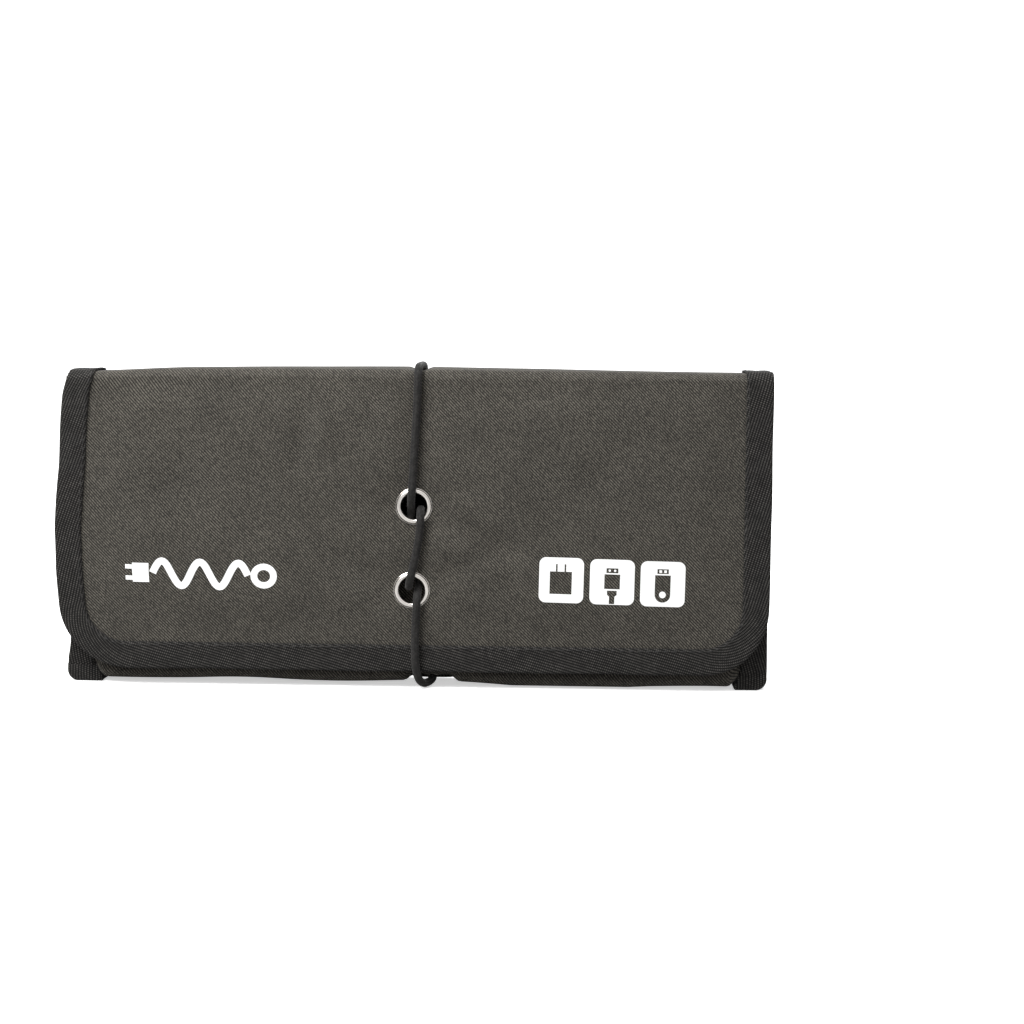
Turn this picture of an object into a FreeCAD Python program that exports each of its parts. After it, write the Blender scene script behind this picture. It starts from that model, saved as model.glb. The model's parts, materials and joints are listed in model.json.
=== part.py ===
import FreeCAD, Part
import math
import os
import Sketcher

# Tri-fold cable organizer pouch, folded shut and standing on its bottom fold.
# +X is to the right, the flap faces -Y and +Z is up. The origin is on the floor, below the middle.
# Five padded panels (back, top spine, flap, bottom spine, pocket panel) turn about four folds.

SIZES = [
    ("pouch_length", 264.0, "length over the side bindings"),
    ("pouch_height", 120.0, "height over the top binding"),
    ("pouch_depth", 28.0, "depth of the folded pouch, cloth to cloth"),
    ("cloth_thickness", 0.6, "outer cloth"),
    ("foam_thickness", 2.0, "foam stiffener"),
    ("lining_thickness", 0.4, "lining"),
    ("tape_thickness", 0.9, "folded binding tape, one leg"),
    ("tape_width", 10.0, "binding tape seen on each face"),
    ("tape_end_gap", 1.1, "binding tape held back from a fold"),
    ("fold_gap", 0.15, "panel held back from a fold"),
    ("base_lift", 4.1, "outer cloth of the bottom spine above the floor"),
    ("foot_width", 12.0, "folded tape end along the pouch"),
    ("flap_lift", 6.5, "lower edge of the flap's binding above the floor"),
    ("flap_corner", 25.0, "outer radius of the flap's lower corners"),
    ("spine_width", 14.2, "bottom spine between the linings of the back and the pocket panel"),
    ("pocket_length", 51.0, "pocket panel above its fold"),
    ("pocket_corner", 14.0, "outer radius of the pocket panel's upper corners"),
    ("bore_radius", 4.9, "bore of the eyelets"),
    ("flange_radius", 6.85, "outer radius of the eyelets"),
    ("flange_thickness", 0.8, "flange of the eyelets"),
    ("rim_rounding", 0.36, "rounding of the flange's edges"),
    ("barrel_wall", 0.5, "wall of the eyelet barrel"),
    ("eyelet_clearance", 0.1, "panel or washer round an eyelet barrel"),
    ("washer_thickness", 0.4, "washer behind an eyelet"),
    ("upper_eyelet_x", -0.8, "upper eyelet across"),
    ("upper_eyelet_z", 68.8, "upper eyelet above the floor"),
    ("lower_eyelet_x", -1.5, "lower eyelet across"),
    ("lower_eyelet_z", 37.3, "lower eyelet above the floor"),
    ("bottom_eyelet_x", 5.6, "bottom eyelet across"),
    ("cord_diameter", 3.0, "elastic cord"),
    ("bar_length", 14.0, "bar at the cord's end"),
    ("bar_diameter", 3.4, "bar at the cord's end"),
    ("bar_clearance", 0.1, "bar to the washer under it"),
    ("socket_wall", 0.7, "bar's socket round the cord"),
    ("socket_height", 2.0, "bar's socket along the cord"),
    ("patch_width", 20.0, "sewn anchor patch of the cord"),
    ("patch_height", 18.0, "sewn anchor patch of the cord"),
    ("patch_thickness", 3.8, "sewn anchor patch of the cord"),
    ("patch_corner", 2.0, "corners of the anchor patch"),
    ("patch_top", 62.0, "top of the anchor patch above the floor"),
    ("zip_height", 66.0, "zip above the floor"),
    ("zip_margin", 4.0, "zip pocket to the side tapes"),
    ("zip_stand_off", 1.5, "zip tape in front of the lining"),
    ("zip_sheet", 0.5, "zip tape and pocket sheet"),
    ("zip_tape_width", 8.0, "one side of the zip tape"),
    ("zip_pocket_bottom", 14.0, "lower edge of the zip pocket above the floor"),
    ("zip_edge_width", 3.0, "piping round the zip pocket"),
    ("tooth_gap", 1.2, "gap between the two rows of teeth"),
    ("tooth_height", 1.3, "one row of teeth, across"),
    ("tooth_depth", 1.5, "one row of teeth, off the tape"),
    ("stop_length", 2.0, "end stop of the zip"),
    ("slider_inset", 5.0, "middle of the closed slider from the end of the zip"),
    ("slider_length", 9.0, "slider along the zip"),
    ("slider_width", 8.2, "slider across the zip"),
    ("slider_plate", 1.0, "front plate of the slider"),
    ("slider_rear", 0.6, "rear plate of the slider"),
    ("neck_length", 3.0, "neck between the slider's plates, along the zip"),
    ("neck_play", 0.2, "neck to the teeth"),
    ("slider_play", 0.3, "slider to teeth and tapes"),
    ("slider_bow", 3.4, "bow of the slider in front of its plate"),
    ("pin_radius", 0.6, "bar that the pull turns on"),
    ("pin_play", 0.08, "radial clearance of the pull on its bar"),
    ("bar_half", 1.5, "half length of the slider's bar"),
    ("post_gap", 0.85, "middle of the slider's bar to its posts"),
    ("pull_play", 0.1, "eye of the pull to the posts"),
    ("eye_wall", 0.6, "wall of the pull's eye"),
    ("stem_bite", 0.35, "stem of the pull into the eye's wall"),
    ("stem_length", 3.0, "stem of the pull from the bar"),
    ("paddle_start", 2.5, "wide part of the pull from the bar"),
    ("pull_corner", 1.2, "corners of the pull"),
    ("pull_length", 8.5, "pull tab from its bar"),
    ("pull_width", 5.0, "pull tab"),
    ("pull_thickness", 0.9, "pull tab"),
    ("loop_count", 4, "cable loops in the row"),
    ("loop_pitch", 50.0, "one cable loop to the next"),
    ("loop_width", 30.0, "cable loop, across its front"),
    ("loop_depth", 5.2, "clear depth of a cable loop"),
    ("loop_band", 0.8, "elastic band of the loops"),
    ("loop_band_height", 15.0, "elastic band of the loops"),
    ("loop_drop", 17.1, "upper edge of the loops below the top lining"),
    ("mesh_thickness", 0.4, "mesh and sleeve cloth"),
    ("mesh_inner", 14.0, "inner edge of a mesh pocket from the middle"),
    ("mesh_margin", 4.0, "outer edge of a mesh pocket to the side tape"),
    ("mesh_bottom", 25.0, "lower edge of the mesh pockets above the floor"),
    ("mesh_top", 84.0, "top of the mesh pockets above the floor"),
    ("hem_height", 6.0, "elastic hem of a pocket"),
    ("sleeve_margin", 12.0, "pocket panel's sleeve to the side tapes"),
    ("sleeve_bottom", 12.0, "lower edge of the sleeve above the floor"),
    ("sleeve_top", 42.0, "top of the sleeve above the floor"),
]

# The elastic cord's centre line, in millimetres, each stretch as it lies on the closed pouch.
BACK_RUN = [
    (0.6, 15.7, 62.0),
    (0.6, 15.7, 84.0),
    (0.8, 15.65, 104.0),
    (0.7, 15.62, 113.4),
]
TOP_RUN = [
    (0.7, 15.62, 113.4),
    (0.66, 15.61, 117.3),
    (0.55, 14.4, 119.5),
    (0.6, 12.2, 120.75),
    (0.6, 5.2, 120.85),
    (0.7, -5.0, 120.8),
    (0.7, -12.2, 120.75),
    (0.68, -14.4, 119.5),
    (0.62, -15.63, 117.3),
    (0.5, -15.65, 113.4),
]
FRONT_RUN = [
    (0.5, -15.65, 113.4),
    (0.2, -15.7, 104.0),
    (-0.9, -16.1, 84.0),
    (-1.4, -16.5, 75.4),
    (-1.7, -16.0, 71.9),
    (-1.9, -13.6, 69.7),
    (-2.1, -11.3, 68.3),
    (-2.3, -9.25, 66.1),
    (-2.6, -9.0, 62.3),
    (-3.0, -8.95, 54.0),
]
LACING = [
    (-3.0, -8.95, 54.0),
    (-3.36, -8.9, 46.5),
    (-3.1, -9.0, 42.3),
    (-2.9, -9.4, 40.4),
    (-2.8, -10.8, 38.9),
    (-2.7, -12.7, 38.4),
    (-2.5, -14.6, 38.9),
    (-2.2, -16.0, 40.4),
    (-1.8, -16.45, 42.6),
    (-0.5, -16.3, 47.6),
    (1.3, -16.2, 57.0),
    (1.8, -16.45, 63.0),
    (1.75, -16.1, 65.6),
    (1.75, -14.7, 67.2),
    (1.7, -12.7, 67.7),
    (1.7, -10.8, 67.2),
    (1.6, -9.4, 65.7),
    (1.5, -9.0, 63.6),
    (1.4, -8.95, 59.0),
    (1.2, -8.95, 50.0),
]
TAIL_RUN = [
    (1.2, -8.95, 50.0),
    (1.05, -8.95, 43.2),
    (0.95, -9.3, 40.0),
    (0.8, -11.2, 38.0),
    (0.7, -13.5, 36.6),
    (0.6, -16.2, 34.6),
    (0.5, -16.6, 30.8),
    (0.1, -15.9, 24.0),
    (0.0, -16.6, 14.5),
    (0.4, -16.75, 7.6),
    (1.4, -15.8, 3.8),
    (2.9, -13.2, 1.9),
    (4.2, -9.4, 1.65),
    (5.0, -5.4, 1.64),
    (5.4, -1.9, 1.68),
    (5.6, 0.8, 2.0),
    (5.6, 2.9, 3.4),
    (5.6, 3.9, 5.3),
    (5.6, 3.9, 7.0),
]

# Share of the shorter leg that a corner of the cord takes for its arc.
CORNER_REACH = 0.45

HALF_LENGTH = "(Sizes.pouch_length / 2)"
PANEL_EDGE = f"({HALF_LENGTH} - Sizes.tape_thickness)"
TAPE_INNER = f"({HALF_LENGTH} - Sizes.tape_width)"
PANEL = "(Sizes.cloth_thickness + Sizes.foam_thickness + Sizes.lining_thickness)"
BACK_FACE = "(Sizes.pouch_depth / 2)"
BACK_INNER = f"({BACK_FACE} - {PANEL})"
FLAP_FACE = "(0 - Sizes.pouch_depth / 2)"
FLAP_INNER = f"({FLAP_FACE} + {PANEL})"
TOP_FACE = "(Sizes.pouch_height - Sizes.tape_thickness)"
TOP_INNER = f"({TOP_FACE} - {PANEL})"
BASE_FACE = "Sizes.base_lift"
BASE_INNER = f"({BASE_FACE} + {PANEL})"
POCKET_INNER = f"({BACK_INNER} - Sizes.spine_width)"
POCKET_FACE = f"({POCKET_INNER} - {PANEL})"
POCKET_TOP = f"({BASE_INNER} + Sizes.pocket_length)"
BOTTOM_EYELET_Y = f"({BACK_INNER} - Sizes.spine_width / 2)"
EYELET_HOLE = "(Sizes.bore_radius + Sizes.barrel_wall + Sizes.eyelet_clearance)"
TAPE_FRONT = f"({BACK_INNER} - Sizes.zip_stand_off)"
SHEET_FRONT = f"({TAPE_FRONT} - Sizes.zip_sheet)"
TEETH_FRONT = f"({SHEET_FRONT} - Sizes.tooth_depth)"
ZIP_HALF = f"({TAPE_INNER} - Sizes.zip_margin)"
ZIP_RUN = f"({ZIP_HALF} - Sizes.zip_edge_width)"
MESH_OUTER = f"({TAPE_INNER} - Sizes.mesh_margin)"
SLEEVE_HALF = f"({TAPE_INNER} - Sizes.sleeve_margin)"

doc = FreeCAD.newDocument("CableOrganizerPouch")
sheet = doc.addObject("Spreadsheet::Sheet", "Sizes")
nodes = []


def fill_sheet():
    """Write each driving size, in millimetres, with its meaning and its alias."""
    for row, (alias, value, meaning) in enumerate(SIZES, start=1):
        sheet.set(f"A{row}", meaning)
        sheet.set(f"B{row}", str(value))
        sheet.setAlias(f"B{row}", alias)
    doc.recompute()


def number(expression):
    """Return the present value of a size expression."""
    value = sheet.evalExpression(str(expression))
    return float(getattr(value, "Value", value))


def new_body(label):
    """Start the solid body of one sub-part."""
    body = doc.addObject("PartDesign::Body", label)
    body.Label = label
    nodes.append(body)
    return body


def origin_plane(body, role):
    """Return one of the body's own origin planes."""
    return next(item for item in body.Origin.OriginFeatures if item.Role == role)


def toward(corner, place, other):
    """Return the point one corner radius from a corner along its straight to another corner."""
    step_x = math.copysign(1, other[0] - place[0]) if abs(other[0] - place[0]) > 1e-6 else 0
    step_y = math.copysign(1, other[1] - place[1]) if abs(other[1] - place[1]) > 1e-6 else 0
    return f"{corner[0]} + ({int(step_x)}) * {corner[2]}", f"{corner[1]} + ({int(step_y)}) * {corner[2]}"


def pin_point(sketch, geometry, point, place):
    """Hold a point of the sketch at its two size expressions."""
    for kind, expression in zip(("DistanceX", "DistanceY"), place):
        constraint = Sketcher.Constraint(kind, -1, 1, geometry, point, number(expression))
        index = sketch.addConstraint(constraint)
        sketch.setExpression(f"Constraints[{index}]", str(expression))


def draw_outline(sketch, corners):
    """Draw a closed outline through (x, y) or rounded, square (x, y, radius) corners."""
    places = [(number(corner[0]), number(corner[1])) for corner in corners]
    stops = []
    for index, corner in enumerate(corners):
        if len(corner) == 2:
            stops.append([corner])
            continue
        before = toward(corner, places[index], places[index - 1])
        after = toward(corner, places[index], places[(index + 1) % len(corners)])
        stops.append([before, after])
    lines = []
    for index in range(len(corners)):
        start = stops[index][-1]
        end = stops[(index + 1) % len(corners)][0]
        ends = [FreeCAD.Vector(number(place[0]), number(place[1]), 0) for place in (start, end)]
        line = sketch.addGeometry(Part.LineSegment(*ends), False)
        pin_point(sketch, line, 1, start)
        lines.append(line)
    for index, corner in enumerate(corners):
        incoming = lines[index - 1]
        outgoing = lines[index]
        if len(corner) == 2:
            sketch.addConstraint(Sketcher.Constraint("Coincident", incoming, 2, outgoing, 1))
            continue
        pin_point(sketch, incoming, 2, stops[index][0])
        draw_corner(sketch, corner, stops[index], incoming, outgoing, places[index])


def draw_corner(sketch, corner, stops, incoming, outgoing, place):
    """Round one corner of an outline with an arc between its two straights."""
    start = FreeCAD.Vector(number(stops[0][0]), number(stops[0][1]), 0)
    end = FreeCAD.Vector(number(stops[1][0]), number(stops[1][1]), 0)
    vertex = FreeCAD.Vector(place[0], place[1], 0)
    centre = start + end - vertex
    left_turn = (vertex - start).cross(end - vertex).z > 0
    first, last = (start, end) if left_turn else (end, start)
    angles = [math.atan2(spot.y - centre.y, spot.x - centre.x) for spot in (first, last)]
    circle = Part.Circle(centre, FreeCAD.Vector(0, 0, 1), number(corner[2]))
    if angles[1] < angles[0]:
        angles[1] += 2 * math.pi
    arc = sketch.addGeometry(Part.ArcOfCircle(circle, angles[0], angles[1]), False)
    start_point, end_point = (1, 2) if left_turn else (2, 1)
    sketch.addConstraint(Sketcher.Constraint("Coincident", incoming, 2, arc, start_point))
    sketch.addConstraint(Sketcher.Constraint("Coincident", arc, end_point, outgoing, 1))
    index = sketch.addConstraint(Sketcher.Constraint("Radius", arc, number(corner[2])))
    sketch.setExpression(f"Constraints[{index}]", str(corner[2]))


def draw_circle(sketch, across, along, radius):
    """Draw a circle held by its centre and radius."""
    centre = FreeCAD.Vector(number(across), number(along), 0)
    circle = Part.Circle(centre, FreeCAD.Vector(0, 0, 1), number(radius))
    geometry = sketch.addGeometry(circle, False)
    pin_point(sketch, geometry, 3, (across, along))
    index = sketch.addConstraint(Sketcher.Constraint("Radius", geometry, number(radius)))
    sketch.setExpression(f"Constraints[{index}]", str(radius))


def add_layer(body, plane, outlines, low, high, circles=()):
    """Pad outlines and circles from one plane height to another, both as size expressions."""
    sketch = body.newObject("Sketcher::SketchObject", "Outline")
    sketch.AttachmentSupport = [(origin_plane(body, plane), "")]
    sketch.MapMode = "FlatFace"
    sketch.setExpression("AttachmentOffset.Base.z", str(low))
    for outline in outlines:
        draw_outline(sketch, outline)
    for circle in circles:
        draw_circle(sketch, *circle)
    pad = body.newObject("PartDesign::Pad", "Layer")
    pad.Profile = sketch
    pad.setExpression("Length", f"{high} - ({low})")
    sketch.Visibility = False
    return pad


def upright(body, outlines, y_back, y_front, circles=()):
    """Add a layer that stands up: outlines in X and Z, between two depths."""
    return add_layer(body, "XZ_Plane", outlines, f"0 - {y_back}", f"0 - ({y_front})", circles)


def level(body, outlines, z_low, z_high, circles=()):
    """Add a layer that lies flat: outlines in X and Y, between two heights."""
    return add_layer(body, "XY_Plane", outlines, z_low, z_high, circles)


def rectangle(left, right, low, high):
    """Return the corners of a rectangle."""
    return [(left, low), (right, low), (right, high), (left, high)]


def panel_layers(name, faces, add, outline, circles=()):
    """Make the outer cloth, stiffener and lining of one panel between its outer and inner face."""
    outer, sign = faces
    depth = "0"
    for kind in ("cloth", "foam", "lining"):
        body = new_body(f"{name}_{'stiffener' if kind == 'foam' else kind}")
        near = f"({outer} {sign} ({depth}))"
        depth = f"{depth} + Sizes.{kind}_thickness"
        far = f"({outer} {sign} ({depth}))"
        bounds = sorted((near, far), key=number, reverse=add is upright)
        add(body, [outline], bounds[0], bounds[1], circles)


def channel(side, outer, inner):
    """Return the U outline of a side tape: legs over both faces, closed round the panel's edge."""
    edge = f"({side} * {PANEL_EDGE})"
    leg_end = f"({side} * {TAPE_INNER})"
    rim = f"({side} * {HALF_LENGTH})"
    direction = "-" if number(outer) < number(inner) else "+"
    over = f"({outer} {direction} Sizes.tape_thickness)"
    under = f"({inner} {'+' if direction == '-' else '-'} Sizes.tape_thickness)"
    return [
        (leg_end, over),
        (rim, over),
        (rim, under),
        (leg_end, under),
        (leg_end, inner),
        (edge, inner),
        (edge, outer),
        (leg_end, outer),
    ]


def straight_binding(name, add, outer, inner, start, end):
    """Make the two side tapes of a straight panel."""
    body = new_body(f"{name}_binding")
    add(body, [channel("-1", outer, inner), channel("1", outer, inner)], start, end)


def rounded_tape(name, outer, inner, open_end, round_end, corner):
    """Make the tape round a panel that is open at its fold and has two round corners."""
    body = new_body(f"{name}_binding")
    away = "+" if number(round_end) > number(open_end) else "-"
    rim = [f"(0 - {HALF_LENGTH})", HALF_LENGTH, round_end, corner]
    edge_end = f"({round_end} {'-' if away == '+' else '+'} Sizes.tape_thickness)"
    edge = [f"(0 - {PANEL_EDGE})", PANEL_EDGE, edge_end, f"({corner} - Sizes.tape_thickness)"]
    window_end = f"({round_end} {'-' if away == '+' else '+'} Sizes.tape_width)"
    window = [f"(0 - {TAPE_INNER})", TAPE_INNER, window_end, f"({corner} - Sizes.tape_width)"]
    bands = [
        (outer, f"({outer} - Sizes.tape_thickness)", window),
        (inner, outer, edge),
        (f"({inner} + Sizes.tape_thickness)", inner, window),
    ]
    for back, front, hollow in bands:
        outline = [
            (rim[0], open_end),
            (rim[0], rim[2], rim[3]),
            (rim[1], rim[2], rim[3]),
            (rim[1], open_end),
            (hollow[1], open_end),
            (hollow[1], hollow[2], hollow[3]),
            (hollow[0], hollow[2], hollow[3]),
            (hollow[0], open_end),
        ]
        upright(body, [outline], back, front)


def fold_corner(label, axis_y, axis_z, turn, radius, left, length):
    """Return a quarter of a round bar about a fold's axis, along X."""
    quarter = doc.addObject("Part::Cylinder", label)
    quarter.Angle = 90
    quarter.setExpression("Radius", radius)
    quarter.setExpression("Height", length)
    along_x = FreeCAD.Rotation(FreeCAD.Vector(1, 1, 1), 120)
    turned = FreeCAD.Rotation(FreeCAD.Vector(1, 0, 0), turn)
    quarter.Placement = FreeCAD.Placement(FreeCAD.Vector(), turned.multiply(along_x))
    quarter.setExpression("Placement.Base.x", left)
    quarter.setExpression("Placement.Base.y", axis_y)
    quarter.setExpression("Placement.Base.z", axis_z)
    return quarter


def fold(name, axis_y, axis_z, turn):
    """Make the cloth and the two tape corners round one fold."""
    cloth = fold_corner(name, axis_y, axis_z, turn, PANEL, f"0 - {PANEL_EDGE}", f"2 * {PANEL_EDGE}")
    cloth.Label = name
    nodes.append(cloth)
    ends = []
    over = f"{PANEL} + Sizes.tape_thickness"
    for side in ("Left", "Right"):
        outer_start = f"0 - {HALF_LENGTH}" if side == "Left" else TAPE_INNER
        inner_start = f"0 - {PANEL_EDGE}" if side == "Left" else TAPE_INNER
        inner_length = "Sizes.tape_width - Sizes.tape_thickness"
        outside = fold_corner("Outside", axis_y, axis_z, turn, over, outer_start, "Sizes.tape_width")
        inside = fold_corner("Inside", axis_y, axis_z, turn, PANEL, inner_start, inner_length)
        end = doc.addObject("Part::Cut", f"{name}{side}")
        end.Base = outside
        end.Tool = inside
        ends.append(end)
    tape = doc.addObject("Part::MultiFuse", f"{name}_tape")
    tape.Shapes = ends
    tape.Label = f"{name}_tape"
    nodes.append(tape)


def eyelet(name, across, along, height, turn):
    """Make a flanged barrel and the washer behind it, facing along the turned Z axis."""
    body = new_body(f"{name}_eyelet")
    barrel = "(Sizes.bore_radius + Sizes.barrel_wall)"
    end = f"(0 - {PANEL} - Sizes.washer_thickness)"
    level(body, [], end, "0", [("0", "0", "Sizes.bore_radius"), ("0", "0", barrel)])
    flange = [("0", "0", "Sizes.bore_radius"), ("0", "0", "Sizes.flange_radius")]
    pad = level(body, [], "0", "Sizes.flange_thickness", flange)
    doc.recompute()
    rims = []
    for index, edge in enumerate(pad.Shape.Edges, start=1):
        at_top = abs(edge.CenterOfMass.z - number("Sizes.flange_thickness")) < 1e-4
        if at_top and hasattr(edge.Curve, "Radius"):
            rims.append(f"Edge{index}")
    rounding = body.newObject("PartDesign::Fillet", "RoundedRim")
    rounding.Base = (pad, rims)
    rounding.setExpression("Radius", "Sizes.rim_rounding")
    body.Tip = rounding
    washer = new_body(f"{name}_eyelet_washer")
    hole = ("0", "0", EYELET_HOLE)
    level(washer, [], end, f"(0 - {PANEL})", [hole, ("0", "0", "Sizes.flange_radius")])
    for piece in (body, washer):
        piece.Placement = FreeCAD.Placement(FreeCAD.Vector(), FreeCAD.Rotation(FreeCAD.Vector(1, 0, 0), turn))
        piece.setExpression("Placement.Base.x", across)
        piece.setExpression("Placement.Base.y", along)
        piece.setExpression("Placement.Base.z", height)


def cord_path(points):
    """Return the wire of straight runs and tangent arcs through hand-chosen points."""
    spots = [FreeCAD.Vector(*point) for point in points]
    edges = []
    radii = []
    here = spots[0]
    for before, corner, after in zip(spots, spots[1:], spots[2:]):
        arriving = (corner - before).normalize()
        leaving = (after - corner).normalize()
        half_turn = arriving.getAngle(leaving) / 2
        reach = CORNER_REACH * min((corner - before).Length, (after - corner).Length)
        radii.append(round(reach / math.tan(half_turn), 1))
        start = corner - arriving * reach
        end = corner + leaving * reach
        middle_way = (leaving - arriving).normalize()
        radius = reach / math.tan(half_turn)
        middle = corner + middle_way * (radius / math.cos(half_turn) - radius)
        edges.append(Part.LineSegment(here, start).toShape())
        edges.append(Part.Arc(start, middle, end).toShape())
        here = end
    edges.append(Part.LineSegment(here, spots[-1]).toShape())
    return Part.Wire(edges), radii


def cord_stretch(label, points):
    """Make one stretch of the elastic cord as a plain round tube."""
    path, radii = cord_path(points)
    heading = (FreeCAD.Vector(*points[1]) - FreeCAD.Vector(*points[0])).normalize()
    radius = number("Sizes.cord_diameter") / 2
    ring = Part.Wire([Part.Circle(FreeCAD.Vector(*points[0]), heading, radius).toShape()])
    tube = path.makePipeShell([ring], True, False)
    expected = math.pi * radius ** 2 * path.Length
    print(f"{label}: length {path.Length:.1f}, radii {radii}, volume ratio {tube.Volume / expected:.4f}")
    feature = doc.addObject("Part::Feature", label)
    feature.Shape = tube
    feature.Label = label
    nodes.append(feature)


def build_back_panel():
    """Back panel: three layers and the side tapes."""
    low = f"({BASE_INNER} + Sizes.fold_gap)"
    high = f"({TOP_INNER} - Sizes.fold_gap)"
    outline = rectangle(f"(0 - {PANEL_EDGE})", PANEL_EDGE, low, high)
    panel_layers("back", (BACK_FACE, "-"), upright, outline)
    start = f"({BASE_INNER} + Sizes.tape_end_gap)"
    end = f"({TOP_INNER} - Sizes.tape_end_gap)"
    straight_binding("back", level, BACK_FACE, BACK_INNER, start, end)


def build_spine(name, faces, inner, y_front, y_back, circles=()):
    """A level spine between two folds: three layers and the side tapes."""
    front = f"({y_front} + Sizes.fold_gap)"
    back = f"({y_back} - Sizes.fold_gap)"
    outline = rectangle(f"(0 - {PANEL_EDGE})", PANEL_EDGE, front, back)
    panel_layers(name, faces, level, outline, circles)
    start = f"({y_back} - Sizes.tape_end_gap)"
    end = f"({y_front} + Sizes.tape_end_gap)"
    straight_binding(name, upright, faces[0], inner, start, end)


def rounded_panel(name, outer, inner, open_end, round_end, corner, circles=()):
    """A panel that is free at one end, where its two corners are round, with its tape."""
    away = "+" if number(round_end) > number(open_end) else "-"
    back = "-" if away == "+" else "+"
    end = f"({round_end} {back} Sizes.tape_thickness)"
    radius = f"({corner} - Sizes.tape_thickness)"
    start = f"({open_end} {away} Sizes.fold_gap)"
    outline = [
        (f"(0 - {PANEL_EDGE})", start),
        (f"(0 - {PANEL_EDGE})", end, radius),
        (PANEL_EDGE, end, radius),
        (PANEL_EDGE, start),
    ]
    panel_layers(name, (outer, "+"), upright, outline, circles)
    tape_start = f"({open_end} {away} Sizes.tape_end_gap)"
    rounded_tape(name, outer, inner, tape_start, round_end, corner)


def build_feet():
    """The folded tape ends under the bottom spine's corners, which the pouch stands on."""
    body = new_body("corner_feet")
    top = f"({BASE_FACE} - Sizes.tape_thickness)"
    front = f"({POCKET_INNER} - {PANEL} + Sizes.tape_end_gap)"
    back = f"({BACK_INNER} - Sizes.tape_end_gap)"
    inner = f"({HALF_LENGTH} - Sizes.foot_width)"
    left = rectangle(f"(0 - {HALF_LENGTH})", f"(0 - {inner})", front, back)
    right = rectangle(inner, HALF_LENGTH, front, back)
    level(body, [left, right], "0", top)


def build_zip_pocket():
    """The flat zip pocket on the back panel's lining: piping, sheet, tapes, teeth and stops."""
    half = ZIP_HALF
    low = "Sizes.zip_pocket_bottom"
    slot = "(Sizes.tooth_gap / 2)"
    tape_low = "(Sizes.zip_height - Sizes.zip_tape_width)"
    tape_high = "(Sizes.zip_height + Sizes.zip_tape_width)"
    edge = new_body("zip_pocket_edge")
    margin = "Sizes.zip_edge_width"
    join = "Sizes.fold_gap"
    bars = [
        rectangle(f"(0 - {half})", f"({margin} - {half})", low, tape_high),
        rectangle(f"({half} - {margin})", half, low, tape_high),
        rectangle(f"({margin} - {half} + {join})", f"({half} - {margin} - {join})", low, f"({low} + {margin})"),
        rectangle(f"({margin} - {half} + {join})", f"({half} - {margin} - {join})",
                  f"({tape_high} - {margin})", tape_high),
    ]
    upright(edge, bars, BACK_INNER, TAPE_FRONT)
    pocket = new_body("zip_pocket_sheet")
    upright(pocket, [rectangle(f"(0 - {half})", half, low, tape_low)], TAPE_FRONT, SHEET_FRONT)
    tapes = new_body("zip_tapes")
    lower = rectangle(f"(0 - {half})", half, tape_low, f"(Sizes.zip_height - {slot})")
    upper = rectangle(f"(0 - {half})", half, f"(Sizes.zip_height + {slot})", tape_high)
    upright(tapes, [lower, upper], TAPE_FRONT, SHEET_FRONT)
    teeth = new_body("zip_teeth")
    stop = f"({ZIP_RUN} - Sizes.stop_length)"
    rows = []
    for side in ("-", "+"):
        near = f"(Sizes.zip_height {side} {slot})"
        far = f"(Sizes.zip_height {side} ({slot} + Sizes.tooth_height))"
        rows.append(rectangle(f"(0 - {stop})", stop, near, far))
    upright(teeth, rows, SHEET_FRONT, TEETH_FRONT)
    stops = new_body("zip_stops")
    span = f"({slot} + Sizes.tooth_height)"
    ends = []
    for side in ("-1", "1"):
        ends.append(rectangle(f"({side} * {stop})", f"({side} * {ZIP_RUN})",
                              f"(Sizes.zip_height - {span})", f"(Sizes.zip_height + {span})"))
    upright(stops, ends, SHEET_FRONT, TEETH_FRONT)


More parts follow.
